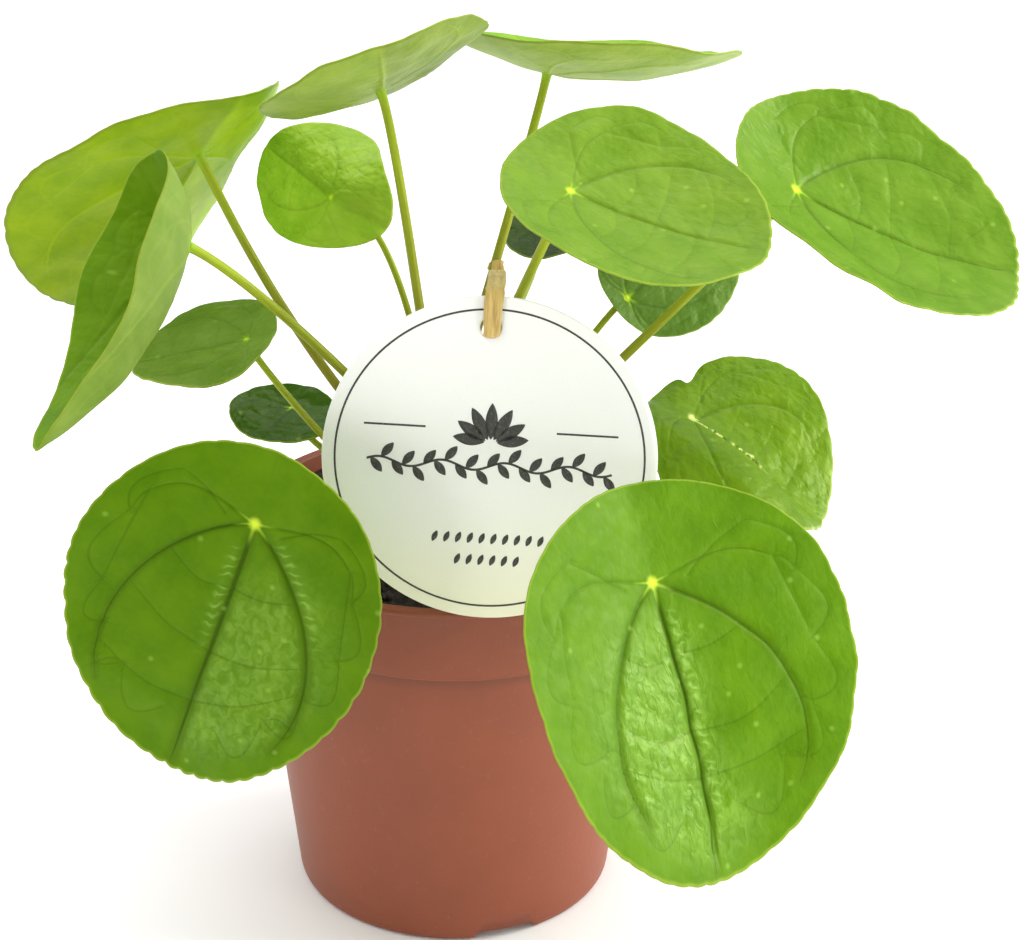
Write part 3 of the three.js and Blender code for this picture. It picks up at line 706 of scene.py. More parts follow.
def stalk_shell(leaf):
    """A tube along the stalk: rings square to its line, thicker at the foot and flared under the
    blade. Points carry the share of the length and the millimetres left to the blade."""
    steps, sides = 72, 18
    share = np.linspace(0, 1, steps)
    centre = stalk_curve(leaf, share)
    tangent = unit(np.gradient(centre, axis=0))
    level = np.cross([0, 0, 1], facing(leaf["azimuth"], 0))
    side = unit(level - (tangent @ level)[:, None] * tangent)
    lift = np.cross(tangent, side)
    length = np.append(0, np.cumsum(np.linalg.norm(np.diff(centre, axis=0), axis=1)))
    left = length[-1] - length
    foot, top = leaf["radii"]
    radius = foot + (top - foot) * np.sqrt(length / length[-1])
    radius = 0.92 * radius * (1 + 0.28 * np.exp(-length / 5) + 0.3 * np.exp(-left / 1.6))
    turn = round_angles(sides)
    ring = np.cos(turn)[:, None] * side[:, None] + np.sin(turn)[:, None] * lift[:, None]
    rings = centre[:, None] + radius[:, None, None] * ring
    ends = [0.0, 1.0]
    numbers = {
        "along": np.append(np.repeat(share, sides), ends),
        "left": np.append(np.repeat(left, sides), [length[-1], 0.0]),
    }
    chart = np.stack([np.repeat(length, sides), np.tile(turn * foot, steps)], 1) / CHART
    charts = {"Plan": np.concatenate([chart, chart[:2]])}
    return tube_shell(rings, numbers=numbers, charts=charts, skin=2)


def painted_crease_flecks(tree, plan, centre, midrib, strength):
    """Painted shade and highlights along the midrib's crease: where its dark flecks and its pale
    ones lie, both broken up and about 1 mm wide."""
    fleck_noise = node(tree, "ShaderNodeTexNoise", FLAT, (plan, 40.0, 4.0, 0.65))
    near_stalk = node(tree, "ShaderNodeMapRange", None, (centre, 3.0, 9.0, 0.1, 0.0))
    fleck_noise = node(tree, "ShaderNodeMath", {"operation": "ADD"}, (fleck_noise, near_stalk))
    wander = node(tree, "ShaderNodeTexNoise", FLAT, (plan, 17.0, 2.0, 0.6))
    wander = node(tree, "ShaderNodeMath", {"operation": "SUBTRACT"}, (wander, 0.5))
    wander = node(tree, "ShaderNodeMath", TIMES_PLUS, (wander, 13.0, midrib))
    wander = node(tree, "ShaderNodeMath", UNSIGNED, (wander,))
    crease = node(tree, "ShaderNodeMapRange", EASED, (wander, 0.6, 3.6, strength, 0.0))
    along = node(tree, "ShaderNodeMapRange", EASED, (centre, 26.0, 40.0, 1.0, 0.0))
    crease = node(tree, "ShaderNodeMath", TIMES, (crease, along))
    flecks = []
    for low, high in ((0.48, 0.4), (0.49, 0.57)):
        fleck = node(tree, "ShaderNodeMapRange", EASED, (fleck_noise, low, high))
        flecks.append(node(tree, "ShaderNodeMath", TIMES, (fleck, crease)))
    return flecks


def waxy_upper_skin(leaf, settings):
    """Smooth waxy cuticle over thick leaf flesh: the eye sees a satin gloss broken up by the
    quilting between sunken, darker veins in painted shade, pale specks, a bright spot over the
    stalk, a thin rim of painted highlight, painted sheen on the panel and on the puckers' crests,
    and painted light and shade that brightens or darkens each half."""
    green = linear(leaf["upper"])
    light, vein_colour = scaled(green, (1.2, 1.1, 1.5)), scaled(green, settings.vein_shade)
    material, tree = new_material(leaf["name"] + "_waxy_upper_skin")
    plan = node(tree, "ShaderNodeUVMap", {"uv_map": "Plan"})
    panel, tone, share, centre, beside, run, zone, midrib = (
        node(tree, "ShaderNodeAttribute", {"attribute_name": name}).outputs["Fac"]
        for name in ("panel", "tone", "share", "centre", "beside", "run", "pucker", "vein_mid")
    )
    patches = node(tree, "ShaderNodeTexNoise", FLAT, (plan, 9.0, 3.0, 0.55))
    patches = node(tree, "ShaderNodeMapRange", None, (patches, 0.3, 0.7))
    flecks = node(tree, "ShaderNodeTexNoise", FLAT, (plan, 60.0, 3.0, 0.65))
    flecks = node(tree, "ShaderNodeMapRange", None, (flecks, 0.48, 0.75, 0.0, 0.5))
    drawn_out = node(tree, "ShaderNodeMapping", None,
                     {"Vector": plan, "Scale": (24.0 + 20.0 * leaf["pucker"] ** 4, 48.0, 1.0)})
    streaks = {"Vector": drawn_out, "Scale": 1.0, "Detail": 2.0, "Roughness": 0.5, "Distortion": 0.6}
    streaks = node(tree, "ShaderNodeTexNoise", FLAT, streaks)
    # Painted sheen: pale mottled streaks over the panel.
    painted_sheen = node(tree, "ShaderNodeMapRange", None, (streaks, 0.34, 0.74, 0.05, 0.28))
    painted_sheen = node(tree, "ShaderNodeMath", TIMES, (painted_sheen, panel))
    colour = scaled(green, (0.84, 0.89, 0.8))
    for factor, tint in ((patches, light), (flecks, light), (painted_sheen, settings.painted_sheen_colour)):
        colour = node(tree, "ShaderNodeMix", TINTED, (factor, colour, tint))
    # Painted light and shade: the colour is brightened or darkened on each half of the blade.
    colour = node(tree, "ShaderNodeMix", {**TINTED, "blend_type": "MULTIPLY"}, (1.0, colour, tone))

    # Dark veins in a valley of painted shade, pale at their start, then the spot, the rim of painted
    # highlight and the specks
    painted_valley_shade = (beside, 0.3, 3.2, 0.34 * leaf["veins"] ** 2, 0.0)
    layers = [(node(tree, "ShaderNodeMapRange", EASED, painted_valley_shade), vein_colour)]
    ray = node(tree, "ShaderNodeMath", UNSIGNED, (midrib,))
    for kind, strength in (("mid", 0.9), ("side", 0.7), ("wide", 0.4), ("net", 0.34)):
        away = node(tree, "ShaderNodeAttribute", {"attribute_name": "vein_" + kind}).outputs["Fac"]
        away = node(tree, "ShaderNodeMath", UNSIGNED, (away,))
        line = node(tree, "ShaderNodeMapRange", EASED, (away, 0.5, 1.7, strength * leaf["veins"], 0.0))
        layers.append((line, vein_colour))
        if kind in ("side", "wide"):
            ray = node(tree, "ShaderNodeMath", {"operation": "MINIMUM"}, (ray, away))
    ray = node(tree, "ShaderNodeMapRange", EASED, (ray, 0.3, 1.5, 1.0, 0.0))
    near = node(tree, "ShaderNodeMapRange", EASED, (centre, 1.0, 7.0, 0.7, 0.0))
    ray = node(tree, "ShaderNodeMath", TIMES, (ray, near))
    spot = node(tree, "ShaderNodeMapRange", EASED, (centre, 0.3, 2.3, 0.95, 0.0))
    # A thin rim of painted highlight along the margin.
    rim = node(tree, "ShaderNodeMapRange", EASED, (share, 0.985, 1.0, 0.0, 0.45))
    specks = node(tree, "ShaderNodeTexVoronoi", {"voronoi_dimensions": "2D"},
                  {"Vector": plan, "Scale": 6.5, "Randomness": 1.0})
    chosen = node(tree, "ShaderNodeSeparateColor", None, {"Color": specks.outputs["Color"]})
    chosen = node(tree, "ShaderNodeMath", {"operation": "GREATER_THAN"}, (chosen.outputs["Red"], 0.5))
    speck = (specks.outputs["Distance"], 0.01, 0.07, 0.2, 0.0)
    speck = node(tree, "ShaderNodeMapRange", EASED, speck)
    speck = node(tree, "ShaderNodeMath", TIMES, (speck, chosen))
    layers += [
        (ray, settings.ray_colour), (spot, settings.spot_colour), (rim, settings.painted_rim_highlight_colour),
        (speck, settings.speck_colour),
    ]
    # Painted shade and highlights along the crease, as dark and pale flecks.
    if leaf["painted_crease"]:
        crease = painted_crease_flecks(tree, plan, centre, midrib, leaf["painted_crease"])
        layers += zip(crease, (vein_colour, settings.crease_highlight_colour))

    # Quilting: soft streaks 2 mm apart along the leaf, wrinkles 4 mm apart that run outwards from
    # the midrib, and dimples about 4 mm wide
    quilt = node(tree, "ShaderNodeUVMap", {"uv_map": "Quilt"})
    stretched = node(tree, "ShaderNodeMapping", None, {"Vector": quilt, "Scale": (26.0, 11.0, 1.0)})
    wrinkles = {"Vector": stretched, "Scale": 1.0, "Detail": 0.6, "Roughness": 0.4, "Distortion": 0.3}
    wrinkles = node(tree, "ShaderNodeTexNoise", FLAT, wrinkles)
    dimples = node(tree, "ShaderNodeTexNoise", FLAT, (plan, 26.0, 1.5, 0.5))
    # Puckers beside the strong veins: short wandering ridges, a little aslant to the vein
    turned = node(tree, "ShaderNodeMath", TIMES_PLUS, (beside, PUCKERS["slant"], run))
    turned = node(tree, "ShaderNodeMath", TIMES_PLUS, (dimples, PUCKERS["wander"], turned))
    turned = node(tree, "ShaderNodeMath", TIMES, (turned, 2 * math.pi / PUCKERS["spacing"]))
    pucker = node(tree, "ShaderNodeMath", {"operation": "SINE"}, (turned,))
    zone = node(tree, "ShaderNodeMath", TIMES, (zone, leaf["pucker"]))
    # Painted highlights on the crests of the puckers.
    painted_crest_highlight = node(tree, "ShaderNodeMapRange", EASED, (pucker, 0.1, 1.0, 0.06, 0.42))
    layers.append((node(tree, "ShaderNodeMath", TIMES, (painted_crest_highlight, zone)), settings.painted_sheen_colour))
    for factor, tint in layers:
        colour = node(tree, "ShaderNodeMix", TINTED, (factor, colour, tint))
    pucker = node(tree, "ShaderNodeMath", TIMES, (pucker, zone))
    relief, dull = dimples, 0
    for height, amount in ((wrinkles, 0.7), (streaks, 0.6), (pucker, 0.3)):
        relief = node(tree, "ShaderNodeMath", TIMES_PLUS, (height, amount, relief))
    if leaf["panel"]:
        # Outside the quilted panel the blade is smoother and duller.
        calm = node(tree, "ShaderNodeMapRange", None, (panel, 0.0, 1.0, 0.4, 1.2))
        relief = node(tree, "ShaderNodeMath", TIMES, (relief, calm))
        dull = 0.22
    gloss = node(tree, "ShaderNodeMapRange", None, (dimples, 0.3, 0.7, 0.28 + dull, 0.4 + dull))
    gloss = node(tree, "ShaderNodeMath", TIMES_PLUS, (panel, -dull, gloss))
    finish_material(tree, {
        "Base Color": colour, "Roughness": gloss, "IOR": 1.45,
        "Specular IOR Level": leaf["gloss"], "Specular Tint": WAX_TINT,
    }, (0.3 + 0.4 * leaf["quilt"], 0.8, relief))
    return material


def matt_lower_skin(leaf, settings):
    """The underside, with less wax: paler, by its own colour and by painted light that shines
    through the blade, softer, and crossed by raised pale veins.
    """
    green = linear(leaf["under"])
    dark, light = scaled(green, (0.8, 0.87, 0.75)), scaled(green, (1.18, 1.1, 1.3))
    material, tree = new_material(leaf["name"] + "_matt_lower_skin")
    plan = node(tree, "ShaderNodeUVMap", {"uv_map": "Plan"})
    tone, centre, share, *veins = (
        node(tree, "ShaderNodeAttribute", {"attribute_name": name}).outputs["Fac"]
        for name in ("tone", "centre", "share", "vein_mid", "vein_side", "vein_wide", "vein_net")
    )
    patches = node(tree, "ShaderNodeTexNoise", FLAT, (plan, 9.0, 4.0, 0.6))
    patches = node(tree, "ShaderNodeMapRange", None, (patches, 0.3, 0.7))
    colour = node(tree, "ShaderNodeMix", TINTED, (patches, dark, light))
    # Painted light and shade: the colour is brightened or darkened on each half of the blade.
    colour = node(tree, "ShaderNodeMix", {**TINTED, "blend_type": "MULTIPLY"}, (1.0, colour, tone))
    layers = []
    for vein, strength in zip(veins, (0.6, 0.5, 0.4, 0.25)):
        away = node(tree, "ShaderNodeMath", UNSIGNED, (vein,))
        layers.append(((away, 0.5, 2.2, strength, 0.0), scaled(green, (1.35, 1.22, 1.3))))
    layers.append(((centre, 1.5, 5.5, 0.7, 0.0), settings.ray_colour))
    # The underside's edge is tinted with half of the upper rim's painted highlight colour, which is
    # darker.
    layers.append(((share, 0.98, 1.0, 0.0, 0.6), scaled(settings.painted_rim_highlight_colour, 0.5)))
    for ramp, tint in layers:
        ramp = node(tree, "ShaderNodeMapRange", EASED, ramp)
        colour = node(tree, "ShaderNodeMix", TINTED, (ramp, colour, tint))
    grain = node(tree, "ShaderNodeTexNoise", FLAT, (plan, 45.0, 4.0, 0.6))
    finish_material(tree, {
        "Base Color": colour, "Roughness": 0.5, "IOR": 1.42, "Specular IOR Level": 0.3,
        "Specular Tint": WAX_TINT,
    }, (0.4, 0.5, grain))
    return material


def stalk_skin(leaf, settings):
    """Round juicy stalk: olive-brown at the foot, turning yellow-green towards the blade, with
    faint streaks along it and a satin skin."""
    material, tree = new_material(leaf["name"] + "_stalk_skin")
    plan = node(tree, "ShaderNodeUVMap", {"uv_map": "Plan"})
    along, left = (
        node(tree, "ShaderNodeAttribute", {"attribute_name": name}).outputs["Fac"]
        for name in ("along", "left")
    )
    rise = node(tree, "ShaderNodeMapRange", EASED, (along, 0.0, 0.85))
    joint = node(tree, "ShaderNodeMapRange", EASED, (left, 0.5, 5.0, 0.8, 0.0))
    stretched = node(tree, "ShaderNodeMapping", None, {"Vector": plan, "Scale": (6.0, 110.0, 1.0)})
    streaks = node(tree, "ShaderNodeTexNoise", FLAT, (stretched, 1.0, 3.0, 0.6))
    shade = node(tree, "ShaderNodeMapRange", None, (streaks, 0.45, 0.75, 0.0, 0.45))
    foot = colour = settings.stalk_foot_colour
    for factor, tint in ((rise, settings.stalk_colour), (joint, settings.ray_colour), (shade, foot)):
        colour = node(tree, "ShaderNodeMix", TINTED, (factor, colour, tint))
    finish_material(tree, {
        "Base Color": colour, "Roughness": 0.38, "IOR": 1.42, "Specular Tint": WAX_TINT,
    }, (0.3, 0.3, streaks))
    return material


# Stem

def stem_radius(height):
    rise = (height - STEM["bottom"]) / (STEM["top"] - STEM["bottom"])
    return STEM["radius"] + (STEM["top_radius"] - STEM["radius"]) * rise**2


def stem_shell():
    """A rod turned from a profile: raised rings where leaves have dropped, each with a soft edge
    and a small knob, and a blunt bud on top."""
    sides, steps = 48, 150
    height = np.linspace(STEM["bottom"], STEM["top"], steps)
    turn = round_angles(sides)
    scar = (height - STEM["bottom"]) / STEM["scar_pitch"]
    ridge = np.exp(-(((scar % 1) - 0.5) / 0.16) ** 2) - 0.8
    knob = np.cos(turn[None] - 2.4 * np.floor(scar)[:, None]) ** 8 * np.maximum(ridge[:, None], 0)
    rough = lumps(turn[None] * STEM["radius"], height[:, None], 3, 5) * 0.12
    close = np.clip((STEM["top"] - height) / 5, 0, 1) ** 0.5
    bud = STEM["bud_radius"] + (stem_radius(height) - STEM["bud_radius"]) * close
    radius = (bud + STEM["scar_depth"] * ridge * close)[:, None] + 0.5 * knob + rough
    crown_share = np.linspace(0, 1, 10)[1:]
    crown = STEM["bud_radius"] * np.cos(crown_share * math.pi / 2)[:, None] + 0.02 + 0 * turn
    radius = np.concatenate([radius, crown])
    crown_height = STEM["top"] + STEM["bud_height"] * np.sin(crown_share * math.pi / 2)
    height = np.concatenate([height, crown_height])
    return turned_shell(radius, turn, height[:, None] + 0 * turn)


def scarred_bark(settings):
    """Young corky stem: brown bark over olive, in patches."""
    material, tree = new_material("scarred_bark")
    place = node(tree, "ShaderNodeTexCoord").outputs["Object"]
    patches = node(tree, "ShaderNodeTexNoise", None, (place, 260.0, 5.0, 0.65))
    patches = node(tree, "ShaderNodeMapRange", None, (patches, 0.35, 0.65))
    bark = (patches, settings.bark_colour, settings.stalk_foot_colour)
    colour = node(tree, "ShaderNodeMix", TINTED, bark)
    finish_material(tree, {"Base Color": colour, "Roughness": 0.78}, (0.7, 0.6, patches))
    return material


# Pot

def wall_radius(height):
    top = POT["rim_radius"] - POT["collar_step"]
    return POT["foot_radius"] + (top - POT["foot_radius"]) * height / POT["height"]


def rounded(corners, radii):
    """A profile with its corners rounded: each corner becomes a quadratic curve between points at
    its radius along the two edges that meet there."""
    corners = np.array(corners, float)
    share = np.linspace(0, 1, 5)[:, None]
    line = [corners[:1]]
    for before, here, after, radius in zip(corners, corners[1:], corners[2:], radii):
        into, out = before - here, after - here
        start = here + into * min(radius / np.linalg.norm(into), 0.45)
        end = here + out * min(radius / np.linalg.norm(out), 0.45)
        line.append(start * (1 - share) ** 2 + here * 2 * share * (1 - share) + end * share**2)
    line.append(corners[-1:])
    return np.concatenate(line)


def pot_profile():
    """Half of the pot's section, from the middle of its underside out, up, and back inside."""
    collar = POT["height"] - POT["collar_height"]
    lip = POT["height"] - POT["lip_thickness"]
    step, roof, top = POT["collar_step"], POT["channel_height"] + POT["floor"], POT["height"]
    outside = POT["rim_radius"] + POT["lip_overhang"] - 0.2
    points = [
        (0, 0, 0),
        (POT["pad_radius"], 0, 0.5),
        (POT["channel_inner"], POT["channel_height"], 0.5),
        (POT["channel_outer"], POT["channel_height"], 0.5),
        (POT["foot_inner"], 0, 0.3),
        (wall_radius(0), 0, POT["foot_rounding"]),
        (wall_radius(collar), collar, 0.35),
        (wall_radius(collar) + step, collar + 0.5, 0.5),
        (wall_radius(lip) + step - 0.2, lip, 0.2),
        (outside, lip + 0.4, 0.4),
        (outside, top, 0.7),
        (wall_radius(top) - POT["wall"], top, 0.5),
        (wall_radius(roof) - POT["wall"], roof, 0.5),
        (POT["channel_inner"] + 1, roof, 0.3),
        (POT["pad_radius"] + 1, POT["floor"], 0.3),
        (0, POT["floor"], 0),
    ]
    return rounded([point[:2] for point in points], [point[2] for point in points[1:-1]])


def even_profile(profile, spacing):
    """The same profile with points added so that none are further apart than spacing."""
    parts = [
        np.linspace(a, b, max(int(np.ceil(np.linalg.norm(b - a) / spacing)), 1), endpoint=False)
        for a, b in zip(profile, profile[1:])
    ]
    return np.concatenate([*parts, profile[-1:]])


def pot_shell():
    """The profile turned about the pot's axis. Within a notch the foot's edge is lifted to the
    notch's height."""
    profile = even_profile(pot_profile(), 6)[1:-1]
    turn = round_angles(240)
    radius = profile[:, :1] + 0 * turn
    height = profile[:, 1:] + 0 * turn
    middle = math.radians(POT["first_notch"] - 90)
    half_pitch = math.pi / POT["notches"]
    away = (turn - middle + half_pitch) % (2 * half_pitch) - half_pitch
    half = POT["notch_width"] / 2
    inside = 1 - smooth(half - 0.3, half + 0.6, np.abs(away) * POT["foot_radius"])
    foot = (radius > POT["channel_outer"]) & (height < POT["notch_height"])
    height = np.where(foot, np.maximum(height, POT["notch_height"] * inside), height)
    return turned_shell(radius, turn, height)


def drain_holes(pot):
    """Cuts the round drain holes through the pot's raised floor ring."""
    sides, below, above = 24, 1.8, POT["channel_height"] + POT["floor"] + 2.3
    turn = round_angles(sides)
    shells = []
    for hole in range(POT["holes"]):
        angle = math.radians(360 / POT["holes"] * hole - 90)
        centre = POT["hole_circle"] * np.array([math.cos(angle), math.sin(angle)])
        ring = centre + POT["hole_radius"] * np.stack([np.cos(turn), np.sin(turn)], 1)
        rings = [np.column_stack([ring, np.full(sides, z)]) for z in (below, above)]
        shells.append(tube_shell(np.stack(rings)))
    cutter = put_mesh("drain_cutter", shells, [])
    cut = pot.modifiers.new("drain holes", "BOOLEAN")
    cut.object = cutter
    cut.operation = "DIFFERENCE"
    cut.solver = "EXACT"
    made = bpy.data.meshes.new_from_object(pot.evaluated_get(bpy.context.evaluated_depsgraph_get()))
    pot.modifiers.clear()
    pot.data = made
    bpy.data.objects.remove(cutter)


def moulded_terracotta_plastic(settings):
    """Injection-moulded polypropylene tinted terracotta: a satin skin with a faint orange-peel
    grain, soft colour clouds, and a few dusty scuffs."""
    material, tree = new_material("moulded_terracotta_plastic")
    place = node(tree, "ShaderNodeTexCoord").outputs["Object"]
    clouds = node(tree, "ShaderNodeTexNoise", None, (place, 22.0, 4.0, 0.6))
    clouds = node(tree, "ShaderNodeMapRange", None, (clouds, 0.3, 0.7))
    dust = node(tree, "ShaderNodeTexNoise", None, (place, 480.0, 3.0, 0.7))
    dust = node(tree, "ShaderNodeMapRange", None, (dust, 0.6, 0.78, 0.0, 0.12))
    # Painted shade darkens the 4 mm below the collar's edge.
    height = node(tree, "ShaderNodeSeparateXYZ", None, (place,)).outputs["Z"]
    edge = (POT["height"] - POT["collar_height"]) * MM
    shade = (height, edge - 4.5 * MM, edge - 0.3 * MM, 0.0, 0.42)
    shade = node(tree, "ShaderNodeMapRange", EASED, shade)
    under = node(tree, "ShaderNodeMath", {"operation": "LESS_THAN"}, (height, edge + 0.1 * MM))
    shade = node(tree, "ShaderNodeMath", TIMES, (shade, under))
    colour = settings.pot_dark_colour
    painted_collar_shade = linear(TINTS["pot_shade"])
    for factor, tint in ((clouds, settings.pot_colour), (dust, settings.dust_colour), (shade, painted_collar_shade)):
        colour = node(tree, "ShaderNodeMix", TINTED, (factor, colour, tint))
    grain = node(tree, "ShaderNodeTexNoise", None, (place, 900.0, 2.0, 0.5))
    gloss = node(tree, "ShaderNodeMapRange", None, (clouds, 0.0, 1.0, 0.42, 0.5))
    finish_material(tree, {
        "Base Color": colour, "Roughness": gloss, "IOR": 1.49, "Specular IOR Level": 0.35,
    }, (0.18, 0.3, grain))
    return material


# Soil

def soil_height(x, y):
    """The CAD soil's top: a shallow dish with slow lumps, plus small crumbly lumps of its own."""
    radius = np.hypot(x, y)
    dish = SOIL["dish"] * (1 - (radius / wall_radius(SOIL["top"])) ** 2)
    wave = 2 * math.pi / SOIL["lump_width"]
    slow = np.sin(wave * x + 1.3) * np.cos(0.9 * wave * y - 0.4)
    crumbs = np.sin(2 * wave * x - 1.7 * wave * y) / 2
    return SOIL["top"] - dish + SOIL["lump"] * (slow + crumbs)


def soil_shell():
    """A turned body as in CAD, with a finely lumped top and the stem's hole in the middle."""
    turn, rings_top = round_angles(200), 60
    bottom = POT["channel_height"] + POT["floor"] + SEAT_GAP

    def inside(height):
        return wall_radius(height) - POT["wall"] - SEAT_GAP

    hole = STEM["radius"] + SEAT_GAP
    top_radii = np.linspace(inside(SOIL["top"]), hole, rings_top)
    edge = SOIL["top"] - SOIL["edge_depth"]
    low = [
        (POT["pad_radius"] + 0.6, POT["floor"] + SEAT_GAP), (POT["channel_inner"] + 0.6, bottom),
        (inside(bottom), bottom), (inside(edge), edge),
    ]
    radius = np.concatenate([[r for r, _ in low], top_radii, [hole]])[:, None] + 0 * turn
    x, y = radius * np.cos(turn), radius * np.sin(turn)
    fine = 0.55 * lumps(x, y, 4.5, 11, 24) + 0.25 * lumps(x, y, 1.9, 12, 24)
    top = soil_height(x, y) + np.maximum(fine, -0.8) * smooth(hole, hole + 3, radius)
    height = np.concatenate([[z for _, z in low], np.zeros(rings_top), [STEM["bottom"] - SEAT_GAP]])
    height = height[:, None] + 0 * turn
    height[len(low):-1] = top[len(low):-1]
    return turned_shell(radius, turn, height)


def crumb_shell(settings):
    """Crumbs of peat, bark and a few pale grains on the soil: small ellipsoids whose radius is
    roughened by a random factor at each point, half sunk where they lie."""
    chance = np.random.default_rng(3)
    count, around, steps = settings.crumbs, 8, 5
    far = wall_radius(SOIL["top"]) - POT["wall"] - 3
    spread = np.sqrt(chance.uniform((STEM["radius"] + 2.5) ** 2, far**2, count))
    bearing = chance.uniform(0, 2 * math.pi, count)
    x, y = spread * np.cos(bearing), spread * np.sin(bearing)
    size = chance.uniform(0.5, 1, count) ** 3 * 2.1 + 0.35
    turn = round_angles(around)
    rise = (np.arange(steps) + 0.5) / steps * math.pi
    ball = np.stack([
        np.sin(rise)[:, None] * np.cos(turn), np.sin(rise)[:, None] * np.sin(turn),
        -np.cos(rise)[:, None] + 0 * turn,
    ], 2).reshape(-1, 3)
    ball = np.concatenate([ball, [[0, 0, -1], [0, 0, 1]]])
    rough = chance.uniform(0.72, 1.15, (count, len(ball), 1))
    stretch = chance.uniform(0.55, 1.3, (count, 1, 3)) * size[:, None, None]
    local = ball * rough * stretch
    tilt = chance.normal(size=(count, 3, 3))
    tilt = np.linalg.qr(tilt)[0]
    tilt[:, :, 0] *= np.sign(np.linalg.det(tilt))[:, None]
    local = np.einsum("nij,nkj->nki", tilt, local)
    centre = np.stack([x, y, soil_height(x, y) + 0.35 * size], 1)
    points = (centre[:, None] + local).reshape(-1, 3)
    quads = grid_faces(steps, around)
    caps = np.concatenate([
        fan_faces(steps * around, 0, around)[:, ::-1],
        fan_faces(steps * around + 1, (steps - 1) * around, around),
    ])
    step = np.arange(count)[:, None, None] * len(ball)
    tone = np.repeat(chance.uniform(0, 1, count), len(ball))
    return dict(
        points=points, numbers={"tone": tone},
        faces=[((quads[None] + step).reshape(-1, 4), 0), ((caps[None] + step).reshape(-1, 3), 0)],
    )


def moist_potting_soil(settings):
    """Moist peat and bark: nearly black, rough and crumbly, with brown fibres."""
    material, tree = new_material("moist_potting_soil")
    place = node(tree, "ShaderNodeTexCoord").outputs["Object"]
    tone = node(tree, "ShaderNodeAttribute", {"attribute_name": "tone"}).outputs["Fac"]
    clods = node(tree, "ShaderNodeTexNoise", None, (place, 420.0, 6.0, 0.7))
    mix = node(tree, "ShaderNodeMapRange", None, (clods, 0.4, 0.68))
    bark = node(tree, "ShaderNodeMapRange", None, (tone, 0.72, 0.95, 0.0, 0.8))
    pale = node(tree, "ShaderNodeMath", {"operation": "GREATER_THAN"}, (tone, 0.97))
    colour = settings.soil_colour
    chip, grain = linear(TINTS["bark_chip"]), linear(TINTS["pale_grain"])
    for factor, tint in ((mix, settings.peat_colour), (bark, chip), (pale, grain)):
        colour = node(tree, "ShaderNodeMix", TINTED, (factor, colour, tint))
    finish_material(tree, {"Base Color": colour, "Roughness": 0.86}, (0.9, 1.6, clods))
    return material


# Tag

def tag_axes():
    """Centre of the card's front, and the directions out of it, to its right and up it."""
    azimuth = math.radians(TAG["face"][0])
    front = facing(*TAG["face"])
    side = np.array([math.cos(azimuth), math.sin(azimuth), 0])
    rise = np.cross(front, side)
    return np.array(TAG["bottom"]) + rise * TAG["radius"], front, side, rise


def on_tag(x, y, out):
    """Points of the card's plane, x to the right and y up from its centre, out in front of it."""
    centre, front, side, rise = tag_axes()
    x, y, out = (np.asarray(value, float)[..., None] for value in (x, y, out))
    return centre + x * side + y * rise + out * front


def card_shell():
    """A disc between the edge of its punched hole and its rim: circles whose centres and radii
    run evenly from the one to the other, once in front and once behind, with soft edges."""
    turn = round_angles(240)
    soft, thick, circles = 0.16, TAG["thickness"], 24
    face = np.linspace(0.004, 0.997, circles)
    share = np.concatenate([face, [1, 1], face[::-1], [0, 0]])
    out = np.concatenate([
        np.zeros(circles), [-soft, soft - thick], np.full(circles, -thick), [soft - thick, -soft],
    ])
    radius = TAG["hole_radius"] + (TAG["radius"] - TAG["hole_radius"]) * share
    x = radius[:, None] * np.cos(turn)
    y = TAG["hole_up"] * (1 - share)[:, None] + radius[:, None] * np.sin(turn)
    points = on_tag(x, y, out[:, None] + 0 * turn)
    chart = np.stack([x.ravel(), y.ravel()], 1) / CHART
    return tube_shell(points, closed=True, charts={"Card": chart})


def ink_strip(x, y, half_width, closed=False):
    """A flat printed line: four-cornered sections along a path on the card, a hair proud of it."""
    path = np.stack([x, y], 1)
    if closed:
        step = np.roll(path, -1, 0) - np.roll(path, 1, 0)
    else:
        step = np.gradient(path, axis=0)
    step = unit(step)
    across = np.stack([step[:, 1], -step[:, 0]], 1) * np.broadcast_to(half_width, len(path))[:, None]
    rings = [
        on_tag(*(path + across * side).T, np.full(len(path), PRINT[out]))
        for side, out in ((1, "sunk"), (-1, "sunk"), (-1, "proud"), (1, "proud"))
    ]
    return tube_shell(np.stack(rings, 1), closed=closed)


def ink_leaf(x, y, angle, length, width):
    """A printed leaf: its width along its length follows half a sine wave."""
    share = np.linspace(0, 1, 15)
    direction = math.radians(angle)
    return ink_strip(
        x + share * length * math.cos(direction), y + share * length * math.sin(direction),
        0.04 + width / 2 * np.sin(math.pi * share) ** 0.8,
    )


